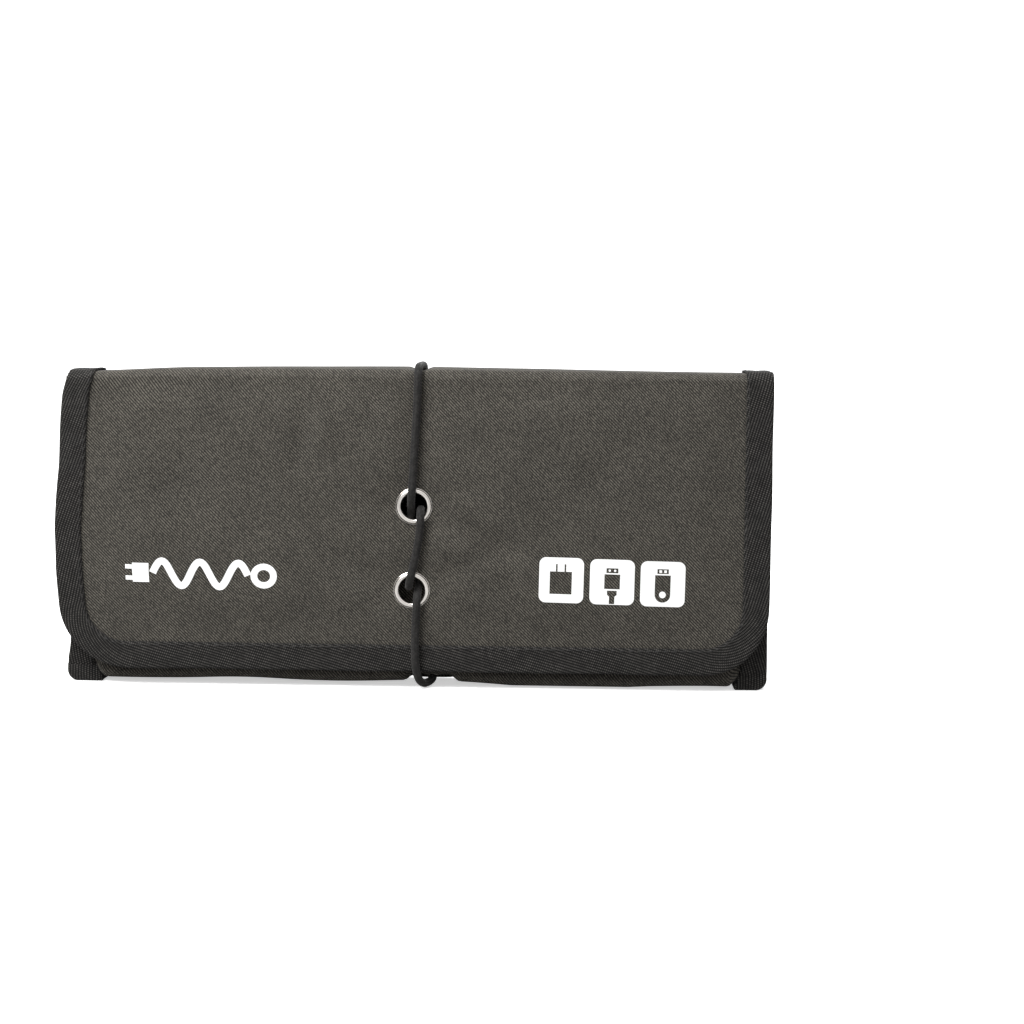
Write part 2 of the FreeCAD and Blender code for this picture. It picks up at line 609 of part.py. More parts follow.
def build_zip_slider():
    """The slider on the teeth and the pull tab that turns on its bar."""
    middle = f"(Sizes.slider_inset - {ZIP_RUN})"
    height = "Sizes.zip_height"
    half = "(Sizes.slider_length / 2)"
    plate = rectangle(f"({middle} - {half})", f"({middle} + {half})",
                      f"({height} - Sizes.slider_width / 2)", f"({height} + Sizes.slider_width / 2)")
    front_inner = f"({TEETH_FRONT} - Sizes.slider_play)"
    front_outer = f"({front_inner} - Sizes.slider_plate)"
    rear_inner = f"({TAPE_FRONT} + Sizes.slider_play)"
    rear_outer = f"({rear_inner} + Sizes.slider_rear)"
    slider = new_body("zip_slider")
    upright(slider, [plate], front_inner, front_outer)
    neck_half = "(Sizes.tooth_gap / 2 - Sizes.neck_play)"
    neck = rectangle(f"({middle} - Sizes.neck_length / 2)", f"({middle} + Sizes.neck_length / 2)",
                     f"({height} - {neck_half})", f"({height} + {neck_half})")
    upright(slider, [neck], rear_inner, front_inner)
    upright(slider, [plate], rear_outer, rear_inner)
    bar_y = f"({front_outer} - Sizes.slider_bow / 2)"
    posts = []
    for side in ("-1", "1"):
        low = f"({height} + {side} * Sizes.post_gap)"
        high = f"({height} + {side} * Sizes.bar_half)"
        posts.append(rectangle(f"({middle} - Sizes.pin_radius)", f"({middle} + Sizes.pin_radius)", low, high))
    upright(slider, posts, front_outer, f"({bar_y} - Sizes.pin_radius)")
    level(slider, [], f"({height} - Sizes.bar_half)", f"({height} + Sizes.bar_half)",
          [(middle, bar_y, "Sizes.pin_radius")])
    pull = new_body("zip_pull")
    eye = "(Sizes.pin_radius + Sizes.pin_play)"
    eye_half = "(Sizes.post_gap - Sizes.pull_play)"
    eye_low = f"({height} - {eye_half})"
    eye_high = f"({height} + {eye_half})"
    level(pull, [], eye_low, eye_high, [(middle, bar_y, eye), (middle, bar_y, f"({eye} + Sizes.eye_wall)")])
    stem_start = f"({middle} + {eye} + Sizes.eye_wall - Sizes.stem_bite)"
    stem = rectangle(stem_start, f"({middle} + Sizes.stem_length)", eye_low, eye_high)
    paddle = [
        (f"({middle} + Sizes.paddle_start)", f"({height} - Sizes.pull_width / 2)"),
        (f"({middle} + Sizes.pull_length)", f"({height} - Sizes.pull_width / 2)", "Sizes.pull_corner"),
        (f"({middle} + Sizes.pull_length)", f"({height} + Sizes.pull_width / 2)", "Sizes.pull_corner"),
        (f"({middle} + Sizes.paddle_start)", f"({height} + Sizes.pull_width / 2)"),
    ]
    for outline in (stem, paddle):
        upright(pull, [outline], f"({bar_y} + Sizes.pull_thickness / 2)", f"({bar_y} - Sizes.pull_thickness / 2)")


def build_cable_loops():
    """The elastic band tacked to the back panel's lining so that it stands off in loops."""
    body = new_body("cable_loops")
    base = BACK_INNER
    flat = f"({base} - Sizes.loop_band)"
    inner = f"({base} - Sizes.loop_depth)"
    outer = f"({inner} - Sizes.loop_band)"
    end = "(Sizes.loop_count * Sizes.loop_pitch / 2)"
    half_tack = "((Sizes.loop_pitch - Sizes.loop_width - 2 * Sizes.loop_band) / 2)"
    lower = []
    upper = []
    for loop in range(int(number("Sizes.loop_count"))):
        left = f"({loop} * Sizes.loop_pitch - {end})"
        right = f"({left} + Sizes.loop_pitch)"
        rise = f"({left} + {half_tack})"
        fall = f"({right} - {half_tack})"
        if loop == 0:
            lower.append((left, base))
            upper.append((left, flat))
        upper += [(rise, flat), (rise, outer), (fall, outer), (fall, flat)]
        lower += [
            (f"({rise} + Sizes.loop_band)", base),
            (f"({rise} + Sizes.loop_band)", inner),
            (f"({fall} - Sizes.loop_band)", inner),
            (f"({fall} - Sizes.loop_band)", base),
        ]
    outline = lower + [(end, base), (end, flat)] + upper[::-1]
    top = f"({TOP_INNER} - Sizes.loop_drop)"
    level(body, [outline], f"({top} - Sizes.loop_band_height)", top)


def build_flap_pockets():
    """Two mesh pockets on the flap's lining, clear of the eyelets, each with an elastic hem."""
    mesh = new_body("flap_mesh_pockets")
    hems = new_body("mesh_pocket_hems")
    front = FLAP_INNER
    mesh_back = f"({front} + Sizes.mesh_thickness)"
    hem_back = f"({mesh_back} + Sizes.mesh_thickness)"
    hem_low = "(Sizes.mesh_top - Sizes.hem_height)"
    pockets = []
    bands = []
    for side in ("-1", "1"):
        inner = f"({side} * Sizes.mesh_inner)"
        outer = f"({side} * {MESH_OUTER})"
        pockets.append(rectangle(inner, outer, "Sizes.mesh_bottom", "Sizes.mesh_top"))
        bands.append(rectangle(inner, outer, hem_low, "Sizes.mesh_top"))
    upright(mesh, pockets, mesh_back, front)
    upright(hems, bands, hem_back, mesh_back)


def build_pocket_sleeve():
    """The sleeve for cards and sticks on the pocket panel's lining, with its hem."""
    sleeve = new_body("pocket_sleeve")
    hem = new_body("pocket_sleeve_hem")
    half = SLEEVE_HALF
    back = f"({POCKET_INNER} + Sizes.mesh_thickness)"
    hem_back = f"({back} + Sizes.mesh_thickness)"
    upright(sleeve, [rectangle(f"(0 - {half})", half, "Sizes.sleeve_bottom", "Sizes.sleeve_top")],
            back, POCKET_INNER)
    upright(hem, [rectangle(f"(0 - {half})", half, "(Sizes.sleeve_top - Sizes.hem_height)", "Sizes.sleeve_top")],
            hem_back, back)


def build_cord():
    """The elastic cord, its sewn anchor patch and the bar at its end."""
    patch = new_body("cord_anchor_patch")
    middle = BACK_RUN[0][0]
    half = "(Sizes.patch_width / 2)"
    bottom = "(Sizes.patch_top - Sizes.patch_height)"
    corners = [
        (f"({middle} - {half})", bottom, "Sizes.patch_corner"),
        (f"({middle} + {half})", bottom, "Sizes.patch_corner"),
        (f"({middle} + {half})", "Sizes.patch_top", "Sizes.patch_corner"),
        (f"({middle} - {half})", "Sizes.patch_top", "Sizes.patch_corner"),
    ]
    upright(patch, [corners], f"({BACK_FACE} + Sizes.patch_thickness)", BACK_FACE)
    cord_stretch("cord_back_run", BACK_RUN)
    cord_stretch("cord_top_run", TOP_RUN)
    cord_stretch("cord_front_run", FRONT_RUN)
    cord_stretch("cord_lacing", LACING)
    cord_stretch("cord_tail_run", TAIL_RUN)
    end = TAIL_RUN[-1]
    socket = doc.addObject("Part::Cylinder", "Socket")
    socket.setExpression("Radius", "Sizes.cord_diameter / 2 + Sizes.socket_wall")
    socket.setExpression("Height", "Sizes.socket_height")
    socket.Placement.Base = FreeCAD.Vector(*end)
    bar = doc.addObject("Part::Cylinder", "Bar")
    bar.setExpression("Radius", "Sizes.bar_diameter / 2")
    bar.setExpression("Height", "Sizes.bar_length")
    bar.Placement.Rotation = FreeCAD.Rotation(FreeCAD.Vector(0, 1, 0), 90)
    bar.setExpression("Placement.Base.x", f"{end[0]} - Sizes.bar_length / 2")
    bar.Placement.Base.y = end[1]
    seat = f"{BASE_INNER} + Sizes.washer_thickness + Sizes.bar_clearance"
    bar.setExpression("Placement.Base.z", f"{seat} + Sizes.bar_diameter / 2")
    joined = doc.addObject("Part::MultiFuse", "cord_end_bar")
    joined.Shapes = [socket, bar]
    joined.Label = "cord_end_bar"
    nodes.append(joined)


def check_and_write():
    """Check every object and solid, then write each sub-part to its own file."""
    doc.recompute()
    for item in doc.Objects:
        if "Invalid" in item.State or "Error" in item.State:
            raise ValueError(f"{item.Label} failed: {item.State}")
    for node in nodes:
        if node.Shape.isNull() or not node.Shape.isValid() or node.Shape.Volume <= 0:
            raise ValueError(f"{node.Label} has no valid solid")
    os.makedirs("parts", exist_ok=True)
    for node in nodes:
        node.Shape.exportStep(f"parts/{node.Label}.step")
        box = node.Shape.BoundBox
        print(f"{node.Label}: {len(node.Shape.Solids)} solid(s), {node.Shape.Volume:.1f} mm3, "
              f"x {box.XMin:.2f} {box.XMax:.2f} y {box.YMin:.2f} {box.YMax:.2f} z {box.ZMin:.2f} {box.ZMax:.2f}")


def main():
    """Build the whole pouch."""
    fill_sheet()
    build_back_panel()
    build_spine("top", (TOP_FACE, "-"), TOP_INNER, FLAP_INNER, BACK_INNER)
    bottom_hole = ("Sizes.bottom_eyelet_x", BOTTOM_EYELET_Y, EYELET_HOLE)
    build_spine("bottom", (BASE_FACE, "+"), BASE_INNER, POCKET_INNER, BACK_INNER, [bottom_hole])
    flap_holes = [
        ("Sizes.upper_eyelet_x", "Sizes.upper_eyelet_z", EYELET_HOLE),
        ("Sizes.lower_eyelet_x", "Sizes.lower_eyelet_z", EYELET_HOLE),
    ]
    rounded_panel("flap", FLAP_FACE, FLAP_INNER, TOP_INNER, "Sizes.flap_lift", "Sizes.flap_corner", flap_holes)
    rounded_panel("pocket", POCKET_FACE, POCKET_INNER, BASE_INNER, POCKET_TOP, "Sizes.pocket_corner")
    fold("top_back_fold", BACK_INNER, TOP_INNER, 0)
    fold("top_front_fold", FLAP_INNER, TOP_INNER, 90)
    fold("bottom_front_fold", POCKET_INNER, BASE_INNER, 180)
    fold("bottom_back_fold", BACK_INNER, BASE_INNER, 270)
    build_feet()
    eyelet("upper", "Sizes.upper_eyelet_x", FLAP_FACE, "Sizes.upper_eyelet_z", 90)
    eyelet("lower", "Sizes.lower_eyelet_x", FLAP_FACE, "Sizes.lower_eyelet_z", 90)
    eyelet("bottom", "Sizes.bottom_eyelet_x", BOTTOM_EYELET_Y, BASE_FACE, 180)
    build_zip_pocket()
    build_zip_slider()
    build_cable_loops()
    build_flap_pockets()
    build_pocket_sleeve()
    build_cord()
    check_and_write()


main()
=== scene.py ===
"""Looks of the folded cable organizer pouch: cloth, tape, eyelets, elastic cord and inside pockets."""
import json
import math

import bmesh
import bpy
import numpy as np
from bpy.props import FloatProperty, FloatVectorProperty, PointerProperty
from mathutils import Quaternion, Vector, noise
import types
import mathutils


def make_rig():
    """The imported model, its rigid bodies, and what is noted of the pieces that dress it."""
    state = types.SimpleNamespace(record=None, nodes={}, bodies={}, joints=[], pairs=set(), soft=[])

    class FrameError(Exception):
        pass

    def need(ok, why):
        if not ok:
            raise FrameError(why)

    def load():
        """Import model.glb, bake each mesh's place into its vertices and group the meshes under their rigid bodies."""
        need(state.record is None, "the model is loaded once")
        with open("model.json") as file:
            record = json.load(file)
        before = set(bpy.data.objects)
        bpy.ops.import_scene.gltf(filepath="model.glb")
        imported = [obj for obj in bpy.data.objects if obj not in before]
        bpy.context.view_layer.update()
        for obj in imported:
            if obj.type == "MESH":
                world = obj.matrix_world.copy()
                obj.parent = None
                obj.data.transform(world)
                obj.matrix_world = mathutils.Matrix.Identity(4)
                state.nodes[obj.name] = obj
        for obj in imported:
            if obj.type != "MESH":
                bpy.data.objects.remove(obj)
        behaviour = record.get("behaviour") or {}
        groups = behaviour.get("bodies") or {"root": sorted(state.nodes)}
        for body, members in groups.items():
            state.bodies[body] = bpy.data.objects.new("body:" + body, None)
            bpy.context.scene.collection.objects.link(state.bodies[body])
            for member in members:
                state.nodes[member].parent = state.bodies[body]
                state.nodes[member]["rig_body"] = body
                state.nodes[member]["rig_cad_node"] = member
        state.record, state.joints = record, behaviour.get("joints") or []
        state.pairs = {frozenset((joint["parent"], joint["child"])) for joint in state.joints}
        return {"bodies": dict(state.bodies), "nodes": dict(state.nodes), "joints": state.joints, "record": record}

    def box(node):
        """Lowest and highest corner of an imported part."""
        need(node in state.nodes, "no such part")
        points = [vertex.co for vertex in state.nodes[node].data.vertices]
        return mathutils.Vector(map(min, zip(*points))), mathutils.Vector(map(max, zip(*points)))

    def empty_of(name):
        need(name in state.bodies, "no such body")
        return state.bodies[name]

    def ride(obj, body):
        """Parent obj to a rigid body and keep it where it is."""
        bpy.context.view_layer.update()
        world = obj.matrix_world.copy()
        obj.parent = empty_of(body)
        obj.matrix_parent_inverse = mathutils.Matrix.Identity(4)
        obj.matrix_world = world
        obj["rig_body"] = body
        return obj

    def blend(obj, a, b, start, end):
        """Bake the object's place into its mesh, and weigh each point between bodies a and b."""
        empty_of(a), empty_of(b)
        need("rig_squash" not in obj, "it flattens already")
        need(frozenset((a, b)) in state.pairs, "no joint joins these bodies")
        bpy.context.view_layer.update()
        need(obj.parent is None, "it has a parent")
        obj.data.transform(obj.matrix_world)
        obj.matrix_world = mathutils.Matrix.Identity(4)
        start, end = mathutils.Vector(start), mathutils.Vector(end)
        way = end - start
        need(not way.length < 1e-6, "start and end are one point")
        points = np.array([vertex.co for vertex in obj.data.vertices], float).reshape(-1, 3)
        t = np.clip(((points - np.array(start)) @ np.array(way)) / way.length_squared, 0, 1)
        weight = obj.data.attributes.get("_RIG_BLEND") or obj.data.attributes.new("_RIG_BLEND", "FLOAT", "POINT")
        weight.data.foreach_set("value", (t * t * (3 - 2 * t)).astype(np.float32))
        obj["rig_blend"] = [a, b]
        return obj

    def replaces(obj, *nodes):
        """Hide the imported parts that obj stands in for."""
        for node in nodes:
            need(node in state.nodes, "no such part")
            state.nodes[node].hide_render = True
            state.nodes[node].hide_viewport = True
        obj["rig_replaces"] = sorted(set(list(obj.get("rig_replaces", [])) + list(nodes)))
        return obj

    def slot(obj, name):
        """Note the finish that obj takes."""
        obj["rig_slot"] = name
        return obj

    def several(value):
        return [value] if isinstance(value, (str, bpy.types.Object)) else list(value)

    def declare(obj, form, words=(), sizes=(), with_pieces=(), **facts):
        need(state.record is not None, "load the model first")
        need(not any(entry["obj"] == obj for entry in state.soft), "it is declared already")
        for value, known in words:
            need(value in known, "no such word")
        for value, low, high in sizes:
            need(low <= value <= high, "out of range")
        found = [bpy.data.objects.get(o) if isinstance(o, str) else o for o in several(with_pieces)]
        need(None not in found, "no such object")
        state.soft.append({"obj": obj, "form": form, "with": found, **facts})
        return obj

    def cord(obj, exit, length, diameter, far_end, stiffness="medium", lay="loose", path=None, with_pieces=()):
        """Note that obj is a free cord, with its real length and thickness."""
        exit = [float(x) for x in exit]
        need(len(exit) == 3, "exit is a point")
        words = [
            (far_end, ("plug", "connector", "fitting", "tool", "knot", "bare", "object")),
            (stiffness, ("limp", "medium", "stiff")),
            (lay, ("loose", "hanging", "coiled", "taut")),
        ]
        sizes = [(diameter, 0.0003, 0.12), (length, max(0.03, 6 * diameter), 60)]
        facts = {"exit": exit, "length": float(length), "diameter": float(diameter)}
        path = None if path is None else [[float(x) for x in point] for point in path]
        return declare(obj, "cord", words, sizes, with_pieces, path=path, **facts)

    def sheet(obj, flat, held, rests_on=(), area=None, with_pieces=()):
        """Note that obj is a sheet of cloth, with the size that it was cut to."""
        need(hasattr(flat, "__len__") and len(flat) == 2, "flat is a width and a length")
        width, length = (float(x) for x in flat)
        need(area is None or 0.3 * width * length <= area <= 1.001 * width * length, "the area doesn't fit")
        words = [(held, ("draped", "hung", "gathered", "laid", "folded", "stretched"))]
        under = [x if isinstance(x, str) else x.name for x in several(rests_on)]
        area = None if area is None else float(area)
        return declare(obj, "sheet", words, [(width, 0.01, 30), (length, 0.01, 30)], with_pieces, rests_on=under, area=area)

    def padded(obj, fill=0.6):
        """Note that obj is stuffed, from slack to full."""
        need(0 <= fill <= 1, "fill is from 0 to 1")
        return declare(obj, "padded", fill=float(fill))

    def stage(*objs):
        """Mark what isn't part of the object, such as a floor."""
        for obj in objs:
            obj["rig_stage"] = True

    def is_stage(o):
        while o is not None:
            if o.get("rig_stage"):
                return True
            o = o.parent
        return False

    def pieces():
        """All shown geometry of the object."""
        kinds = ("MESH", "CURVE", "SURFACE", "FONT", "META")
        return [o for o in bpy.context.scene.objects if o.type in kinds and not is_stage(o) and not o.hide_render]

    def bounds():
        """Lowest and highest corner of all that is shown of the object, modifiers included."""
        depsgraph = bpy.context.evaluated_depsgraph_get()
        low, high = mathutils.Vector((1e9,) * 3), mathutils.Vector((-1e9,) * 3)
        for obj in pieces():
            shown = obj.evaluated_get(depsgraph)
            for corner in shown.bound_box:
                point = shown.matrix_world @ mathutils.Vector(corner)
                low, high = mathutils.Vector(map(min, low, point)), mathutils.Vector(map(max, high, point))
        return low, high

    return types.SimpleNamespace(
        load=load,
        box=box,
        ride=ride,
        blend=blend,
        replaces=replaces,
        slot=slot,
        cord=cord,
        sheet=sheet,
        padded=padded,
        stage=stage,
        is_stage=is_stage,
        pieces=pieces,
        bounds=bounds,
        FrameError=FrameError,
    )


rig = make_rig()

bl_info = {
    "name": "Cable organizer pouch",
    "version": (1, 0, 0),
    "blender": (4, 5, 0),
    "location": "View3D > Sidebar > Pouch",
    "description": "Builds the cloth, tape, metal and cord of a folded cable organizer pouch",
    "category": "Object",
}

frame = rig.load()
CAD_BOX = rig.bounds()
MM = 0.001


def low(node):
    """Return a node's lowest corner."""
    return Vector(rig.box(node)[0])


def high(node):
    """Return a node's highest corner."""
    return Vector(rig.box(node)[1])


# Faces and edges of the five panels, read from the frame.
EDGE = high("back_cloth").x
RIM = high("back_binding").x
BACK_IN = low("back_lining").y
PANEL = high("back_cloth").y - BACK_IN
CLOTH = high("back_cloth").y - low("back_cloth").y
LINING = high("back_lining").y - BACK_IN
TAPE = high("back_binding").y - high("back_cloth").y
TOP_IN = low("top_lining").z
FLAP_IN = high("flap_lining").y
BASE_IN = high("bottom_lining").z
POCKET_IN = high("pocket_lining").y
FLAP_END = low("flap_cloth").z
POCKET_END = high("pocket_cloth").z
FLAP_ROUND = 24.1 * MM
POCKET_ROUND = 13.1 * MM
TAPE_REACH = 9.1 * MM
BACK_MIDDLE = (TOP_IN + BASE_IN) / 2
BASE_MIDDLE = (BACK_IN + POCKET_IN) / 2
UPPER = (low("upper_eyelet") + high("upper_eyelet")) / 2
LOWER = (low("lower_eyelet") + high("lower_eyelet")) / 2
BOTTOM = (low("bottom_eyelet") + high("bottom_eyelet")) / 2
FLANGE_FRONT = low("bottom_eyelet").y - 0.2 * MM
FLANGE_BACK = high("bottom_eyelet").y + 0.2 * MM

# The elastic cord's route, in metres: up the back and half over the top, then down the front to the bar.
BACK_CORD = [
    (0.0006, 0.0157, 0.062),
    (0.0006, 0.0157, 0.084),
    (0.0008, 0.01565, 0.104),
    (0.0007, 0.01562, 0.1134),
    (0.00066, 0.01561, 0.1173),
    (0.00055, 0.0144, 0.1195),
    (0.0006, 0.0122, 0.12075),
    (0.0006, 0.0052, 0.12085),
    (0.00065, 0.0001, 0.12083),
]
FRONT_CORD = [
    (0.00065, 0.0001, 0.12083),
    (0.0007, -0.005, 0.1208),
    (0.0007, -0.0122, 0.12075),
    (0.00068, -0.0144, 0.1195),
    (0.00062, -0.01563, 0.1173),
    (0.0005, -0.01565, 0.1134),
    (0.0002, -0.0157, 0.104),
    (-0.0009, -0.0161, 0.084),
    (-0.0014, -0.0165, 0.0754),
    (-0.0017, -0.016, 0.0719),
    (-0.0019, -0.0136, 0.0697),
    (-0.0021, -0.0113, 0.0683),
    (-0.0023, -0.00925, 0.0661),
    (-0.0026, -0.009, 0.0623),
    (-0.003, -0.00895, 0.054),
    (-0.00336, -0.0089, 0.0465),
    (-0.0031, -0.009, 0.0423),
    (-0.0029, -0.0094, 0.0404),
    (-0.0028, -0.0108, 0.0389),
    (-0.0027, -0.0127, 0.0384),
    (-0.0025, -0.0146, 0.0389),
    (-0.0022, -0.016, 0.0404),
    (-0.0018, -0.01645, 0.0426),
    (-0.0005, -0.0163, 0.0476),
    (0.0013, -0.0162, 0.057),
    (0.0018, -0.01645, 0.063),
    (0.00175, -0.0161, 0.0656),
    (0.00175, -0.0147, 0.0672),
    (0.0017, -0.0127, 0.0677),
    (0.0017, -0.0108, 0.0672),
    (0.0016, -0.0094, 0.0657),
    (0.0015, -0.009, 0.0636),
    (0.0014, -0.00895, 0.059),
    (0.0012, -0.00895, 0.05),
    (0.00105, -0.00895, 0.0432),
    (0.00095, -0.0093, 0.04),
    (0.0008, -0.0112, 0.038),
    (0.0007, -0.0135, 0.0366),
    (0.0006, -0.0162, 0.0346),
    (0.0005, -0.0166, 0.0308),
    (0.0001, -0.0159, 0.024),
    (0.0, -0.0166, 0.0145),
    (0.0004, -0.01675, 0.0076),
    (0.0014, -0.0158, 0.0038),
    (0.0029, -0.0132, 0.0019),
    (0.0042, -0.0094, 0.00165),
    (0.005, -0.0054, 0.00164),
    (0.0054, -0.0019, 0.00168),
    (0.0056, 0.0008, 0.002),
    (0.0056, 0.0029, 0.0034),
    (0.0056, 0.0039, 0.0053),
    (0.0056, 0.0039, 0.007),
]


class PouchCloth(bpy.types.PropertyGroup):
    """Weave and shape of the cloth."""

    yarn: FloatProperty(name="Yarn", description="Width of one yarn", default=0.0003, unit="LENGTH")
    puff: FloatProperty(
        name="Puff", description="How far the padding pushes out", default=0.0014, unit="LENGTH")
    creases: FloatProperty(
        name="Creases", description="Height of the soft creases", default=0.0012, unit="LENGTH")
    crown: FloatProperty(
        name="Crown", description="How far the top arches up", default=0.0012, unit="LENGTH")
    slump: FloatProperty(
        name="Slump", description="How far the top's left end hangs", default=0.0015, unit="LENGTH")
    give: FloatProperty(
        name="Give", description="How far the top's two edges are flattened", default=0.0004, unit="LENGTH")
    sag: FloatProperty(
        name="Sag", description="How far the bottom cloth hangs down", default=0.0043, unit="LENGTH")
    dark: FloatVectorProperty(
        name="Dark yarn", description="Colour of the dark yarns", subtype="COLOR", size=3,
        default=(0.0095, 0.009, 0.0085), min=0, max=1)
    light: FloatVectorProperty(
        name="Light yarn", description="Colour of the light yarns", subtype="COLOR", size=3,
        default=(0.175, 0.161, 0.135), min=0, max=1)


class PouchTape(bpy.types.PropertyGroup):
    """Binding tape and its stitching."""

    colour: FloatVectorProperty(
        name="Tape", description="Colour of the binding tape", subtype="COLOR", size=3,
        default=(0.0045, 0.0045, 0.0045), min=0, max=1)
    rib: FloatProperty(name="Rib", description="Spacing of the tape's ribs", default=0.00105, unit="LENGTH")
    stitch: FloatProperty(name="Stitch", description="Length of one stitch", default=0.0024, unit="LENGTH")
    thread: FloatProperty(
        name="Thread", description="Thickness of the thread", default=0.00042, unit="LENGTH")


class PouchCord(bpy.types.PropertyGroup):
    """Elastic cord."""

    diameter: FloatProperty(
        name="Diameter", description="Diameter of the cord", default=0.003, unit="LENGTH")
    colour: FloatVectorProperty(
        name="Cord", description="Colour of the braided sheath", subtype="COLOR", size=3,
        default=(0.012, 0.0115, 0.011), min=0, max=1)


class PouchPrint(bpy.types.PropertyGroup):
    """White print on the flap."""

    tile: FloatProperty(name="Tile", description="Side of a printed tile", default=0.0166, unit="LENGTH")
    ink: FloatVectorProperty(
        name="Ink", description="Colour of the print", subtype="COLOR", size=3,
        default=(0.86, 0.86, 0.85), min=0, max=1)


class PouchStage(bpy.types.PropertyGroup):
    """Camera and lights."""

    distance: FloatProperty(name="Distance", description="Camera to the pouch", default=0.79, unit="LENGTH")
    lens: FloatProperty(name="Lens", description="Focal length in millimetres", default=74.4, min=10)
    azimuth: FloatProperty(
        name="Azimuth", description="Camera round the pouch", default=math.radians(4.6), subtype="ANGLE")
    elevation: FloatProperty(
        name="Elevation", description="Camera above the pouch", default=math.radians(5.5), subtype="ANGLE")
    roll: FloatProperty(
        name="Roll", description="Tilt of the camera", default=math.radians(0.52), subtype="ANGLE")
    aside: FloatProperty(name="Aside", description="Aim right of the pouch", default=0.0358, unit="LENGTH")
    above: FloatProperty(name="Above", description="Aim above the pouch", default=0.0056, unit="LENGTH")


# ---------------------------------------------------------------------------
# Shader helpers
# ---------------------------------------------------------------------------


class Net:
    """Small helper that adds linked nodes to a node tree."""

    def __init__(self, tree):
        self.tree = tree

    def add(self, kind, settings=None, **inputs):
        """Add a node, set its properties and feed its inputs by name or number."""
        node = self.tree.nodes.new(kind)
        for key, value in (settings or {}).items():
            setattr(node, key, value)
        for key, value in inputs.items():
            socket = node.inputs[int(key[1:])] if key[0] == "i" and key[1:].isdigit() else node.inputs[key]
            self.feed(socket, value)
        return node

    def feed(self, socket, value):
        """Link a socket or set its default."""
        if isinstance(value, bpy.types.NodeSocket):
            self.tree.links.new(value, socket)
        elif isinstance(value, (tuple, list)) and len(value) == 3 and len(socket.default_value) == 4:
            socket.default_value = (*value, 1.0)
        else:
            socket.default_value = value

    def math(self, operation, first, second=0.0):
        """Return a math result."""
        return self.add("ShaderNodeMath", {"operation": operation}, i0=first, i1=second).outputs[0]

    def mix(self, factor, first, second):
        """Return a mixed colour."""
        node = self.add("ShaderNodeMix", {"data_type": "RGBA"})
        self.feed(node.inputs[0], factor)
        self.feed(node.inputs[6], first)
        self.feed(node.inputs[7], second)
        return node.outputs[2]

    def noise(self, vector, scale, detail=3.0):
        """Return a noise value."""
        node = self.add("ShaderNodeTexNoise", Vector=vector, Scale=scale, Detail=detail)
        return node.outputs[0]

    def random(self, first, second):
        """Return white noise of two values."""
        spot = self.add("ShaderNodeCombineXYZ", X=first, Y=second).outputs[0]
        return self.add("ShaderNodeTexWhiteNoise", {"noise_dimensions": "2D"}, Vector=spot).outputs[0]


def new_group(name, inputs, outputs):
    """Start a shader group; inputs are (name, kind, default) and outputs (name, kind)."""
    tree = bpy.data.node_groups.new(name, "ShaderNodeTree")
    for title, kind, default in inputs:
        socket = tree.interface.new_socket(title, in_out="INPUT", socket_type=kind)
        if default is not None:
            socket.default_value = (*default, 1.0) if kind == "NodeSocketColor" else default
    for title, kind in outputs:
        tree.interface.new_socket(title, in_out="OUTPUT", socket_type=kind)
    net = Net(tree)
    return tree, net, net.add("NodeGroupInput").outputs, net.add("NodeGroupOutput")


def weave_group():
    """Twill of single yarns: each yarn has its own tone that changes along it, as in melange cloth. Painted shade
    darkens the colour towards each yarn's edges and into the gaps between yarns.
    """
    tree, net, given, out = new_group(
        "yarn_weave",
        [("Place", "NodeSocketVector", None), ("Yarn", "NodeSocketFloat", 0.0003),
         ("Dark", "NodeSocketColor", (0, 0, 0)), ("Light", "NodeSocketColor", (1, 1, 1)),
         ("Floats", "NodeSocketFloat", 4.0)],
        [("Color", "NodeSocketColor"), ("Height", "NodeSocketFloat")])
    parts = net.add("ShaderNodeSeparateXYZ", Vector=given["Place"]).outputs
    across = net.math("DIVIDE", parts[0], given["Yarn"])
    along = net.math("DIVIDE", parts[1], given["Yarn"])
    column = net.math("FLOOR", across)
    row = net.math("FLOOR", along)
    step = net.math("FRACT", net.math("DIVIDE", net.math("SUBTRACT", column, row), given["Floats"]))
    over = net.math("LESS_THAN", step, 0.5)
    warp_round = net.math("SINE", net.math("MULTIPLY", net.math("FRACT", across), math.pi))
    weft_round = net.math("SINE", net.math("MULTIPLY", net.math("FRACT", along), math.pi))
    warp_start = net.math("MULTIPLY", net.random(column, 3.7), 9.0)
    weft_start = net.math("MULTIPLY", net.random(8.3, row), 9.0)
    warp_piece = net.math("FLOOR", net.math("DIVIDE", net.math("ADD", along, warp_start), 4.0))
    weft_piece = net.math("FLOOR", net.math("DIVIDE", net.math("ADD", across, weft_start), 11.0))
    warp_tone = net.random(column, warp_piece)
    weft_tone = net.random(weft_piece, net.math("ADD", row, 0.5))
    height = net.add("ShaderNodeMix", {"data_type": "FLOAT"})
    net.feed(height.inputs[0], over)
    net.feed(height.inputs[2], weft_round)
    net.feed(height.inputs[3], warp_round)
    tone = net.add("ShaderNodeMix", {"data_type": "FLOAT"})
    net.feed(tone.inputs[0], over)
    net.feed(tone.inputs[2], net.math("MULTIPLY", weft_tone, 0.16))
    net.feed(tone.inputs[3], net.math("ADD", 0.35, net.math("MULTIPLY", warp_tone, 0.65)))
    cloud = net.noise(given["Place"], 60.0)
    lit = net.math("MULTIPLY", tone.outputs[0], net.math("ADD", 0.75, net.math("MULTIPLY", cloud, 0.5)))
    # Painted shade: by the yarn's height, the colour is darkened towards near-black at each yarn's edges and in the
    # gaps between yarns.
    shade = net.math("ADD", 0.3, net.math("MULTIPLY", height.outputs[0], 0.7))
    plain = net.mix(lit, given["Dark"], given["Light"])
    shaded = net.mix(shade, (0.004, 0.004, 0.004), plain)
    net.feed(out.inputs["Color"], shaded)
    net.feed(out.inputs["Height"], height.outputs[0])
    return tree


